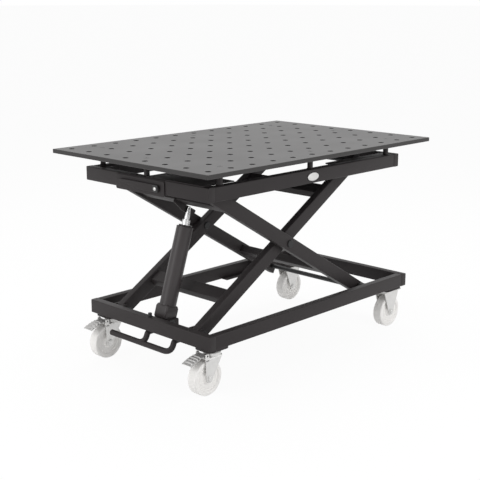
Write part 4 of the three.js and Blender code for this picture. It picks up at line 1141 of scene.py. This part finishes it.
def swivel_caster(name):
    """The fork with its ball-race head, axle and brake ears, as one piece on the swivel's body."""
    x, y = pivot[f"swivel_{name}"][:2]
    head_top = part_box(f"fork_{name}")[1][2]
    grooves = zip((0, HEAD_GROOVE, HEAD_GROOVE, 0), GROOVE_DROPS)
    head = turned([(HEAD_RADIUS - HEAD_FOOT[0], CROWN_TOP - HEAD_FOOT[1]), (HEAD_RADIUS, CROWN_TOP),
                   *[(HEAD_RADIUS - inset, head_top - drop) for inset, drop in grooves],
                   (HEAD_RADIUS, head_top)], (x, y, 0), sides=48)
    hinge = pivot[f"brake_{name}"]
    back, front = hinge[0] - BRAKE_EAR_HALF, hinge[0] + BRAKE_EAR_HALF
    bottom, top = CROWN_TOP - BRAKE_EAR_LAP, hinge[2] + BRAKE_EAR_HALF
    ear = outline_of([(back, bottom), (front, bottom), (front, top), (back, top)],
                     (MERGE, MERGE, BRAKE_EAR_HALF, BRAKE_EAR_HALF), steps=8)
    shells = [head, pressed_fork((x, y, 0), CROWN_TOP, swivel_reach), *axle_nuts((x - TRAIL, y, axle_z))]
    for start in (y + FORK_IN, y - fork_out):
        shells.append(sheet(ear, start, start + FORK_THICKNESS, 1))
    put(f"swivel_fork_{name}", shells, zinc_finish, f"swivel_{name}", [f"fork_{name}"])


def fixed_caster(name):
    """The fork with its flange and axle, as one piece on the base."""
    low, high = np.array(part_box(f"fork_{name}"))
    x, y = (low + high)[:2] / 2
    flange = sheet(rectangle(low[:2], high[:2], FLANGE_CORNER), high[2] - FLANGE_THICKNESS, high[2], 2)
    shells = [flange, pressed_fork((x, y, 0), flange_bottom, fixed_reach), *axle_nuts((x, y, axle_z))]
    put(f"fixed_fork_{name}", shells, zinc_finish, "base", [f"fork_{name}"])


def brake_tread(name):
    """Loops of the brake's pressed tread. One parameter runs from the hinge to the tip along a falling
    curve, the other across. Past the root, ribs are the upper halves of a sine wave that fades out at both
    sides, and the edges turn down a little."""
    hinge = pivot[f"brake_{name}"]
    share = np.linspace(0, 1, BRAKE_GRID[0])[:, None]
    across = np.linspace(-1, 1, BRAKE_GRID[1])[None, :]
    half = BRAKE_ROOT / 2 + share * (BRAKE_TIP - BRAKE_ROOT) / 2
    ribs = RIB_HEIGHT * np.maximum(np.sin(share * RIB_COUNT * 2 * np.pi), 0)
    ribs = ribs * np.clip((share - RIB_START) * RIB_ONSET, 0, 1)
    ribs = ribs * np.clip((1 - np.abs(across)) * RIB_SIDE_ONSET, 0, 1)
    edge = BRAKE_TURN * np.abs(across) ** BRAKE_TURN_POWER
    x = hinge[0] - BRAKE_LENGTH * share + 0 * across
    y = hinge[1] + half * across
    z = hinge[2] + BRAKE_SHEET - BRAKE_FALL * share ** 2 + ribs - edge
    top = np.stack([x, y, z], -1)
    under = top - np.array([0, 0, BRAKE_SHEET])
    return np.concatenate([top, under[:, ::-1]], 1)


for name in CORNERS:
    caster_wheel(name)
    if name.endswith("left"):
        swivel_caster(name)
        hinge = pivot[f"brake_{name}"]
        barrel_half = FORK_IN - BARREL_PLAY
        barrel_profile = eased_bar(BRAKE_BARREL, -barrel_half, barrel_half, BARREL_EASE)
        barrel = turned(barrel_profile, hinge, (0, 1, 0), sides=24)
        brake_pin = turned([(BRAKE_PIN, -fork_out), (BRAKE_PIN, fork_out)], hinge, (0, 1, 0), sides=20)
        put(f"brake_tread_{name}", [brake_tread(name), barrel, brake_pin], tread_finish,
            f"brake_pedal_{name}", [f"brake_{name}"])
    else:
        fixed_caster(name)
    low, high = np.array(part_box(f"caster_plate_{name}"))
    mount_outline = rectangle(low[:2], high[:2], CASTER_PLATE_CORNER)
    put(f"mounting_plate_{name}", [sheet(mount_outline, low[2], high[2], 2, CASTER_PLATE_ROLL)],
        coat_finish, "base", [f"caster_plate_{name}"])

# Small fittings
# A blank oval name plate fixed to the front rail, the lever's bolt and a stop peg welded to the base.
# The plate's face and the bolt are zinc plated steel; the plate's rim and the peg are black steel.
BADGE_PLACE = (0.0, 0.690)
BADGE_HALF = (0.0315, 0.0165)
BADGE_THICKNESS = 0.0012
BADGE_SINK = 0.0005
BADGE_ROLL = 0.0004
BADGE_RIM = 0.0022
BADGE_PROUD = 0.0003
OVAL_SIDES = 64
BOLT_PROFILE = ((0.005, 0.018), (0.005, 0.005), (0.0065, 0.004), (0.0065, 0.0025), (0.005, 0.0008),
                (0.0028, 0))
PEG_RADIUS = 0.007
PEG_HEIGHT = 0.014


def oval(half):
    """The outline of an ellipse by its two half lengths, drawn in evenly by an inset."""
    turn = np.arange(OVAL_SIDES) / OVAL_SIDES * 2 * np.pi

    def outline(inset):
        return np.stack([(half[0] - inset) * np.cos(turn), (half[1] - inset) * np.sin(turn)], 1)

    return outline


rail_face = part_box("top_rail_front")[0][1]
badge_axes = ((BADGE_PLACE[0], rail_face, BADGE_PLACE[1]), (1, 0, 0), (0, 0, 1), (0, -1, 0))
rim_levels = rolled(-BADGE_SINK, BADGE_THICKNESS, BADGE_ROLL)
put("badge_rim", [lofted(oval(BADGE_HALF), rim_levels, *badge_axes)], black_finish, "top")
face_half = np.array(BADGE_HALF) - BADGE_RIM
face_levels = rolled(0, BADGE_THICKNESS + BADGE_PROUD, BADGE_PROUD)
put("badge_face", [lofted(oval(face_half), face_levels, *badge_axes)], zinc_finish, "top")
bolt = turned(BOLT_PROFILE, (lever_low[0], *lever_pivot[1:]), (1, 0, 0))
put("lever_bolt", [bolt], zinc_finish, "top")
base_low, base_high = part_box("base_rail_left")
peg = turned([(PEG_RADIUS, -WELD_SINK), (PEG_RADIUS, PEG_HEIGHT - TURNED_EASE),
              (PEG_RADIUS - TURNED_EASE, PEG_HEIGHT)], (base_low[0] + RAIL_WIDTH / 2, 0, base_high[2]))
put("stop_peg", [peg], black_finish, "base")
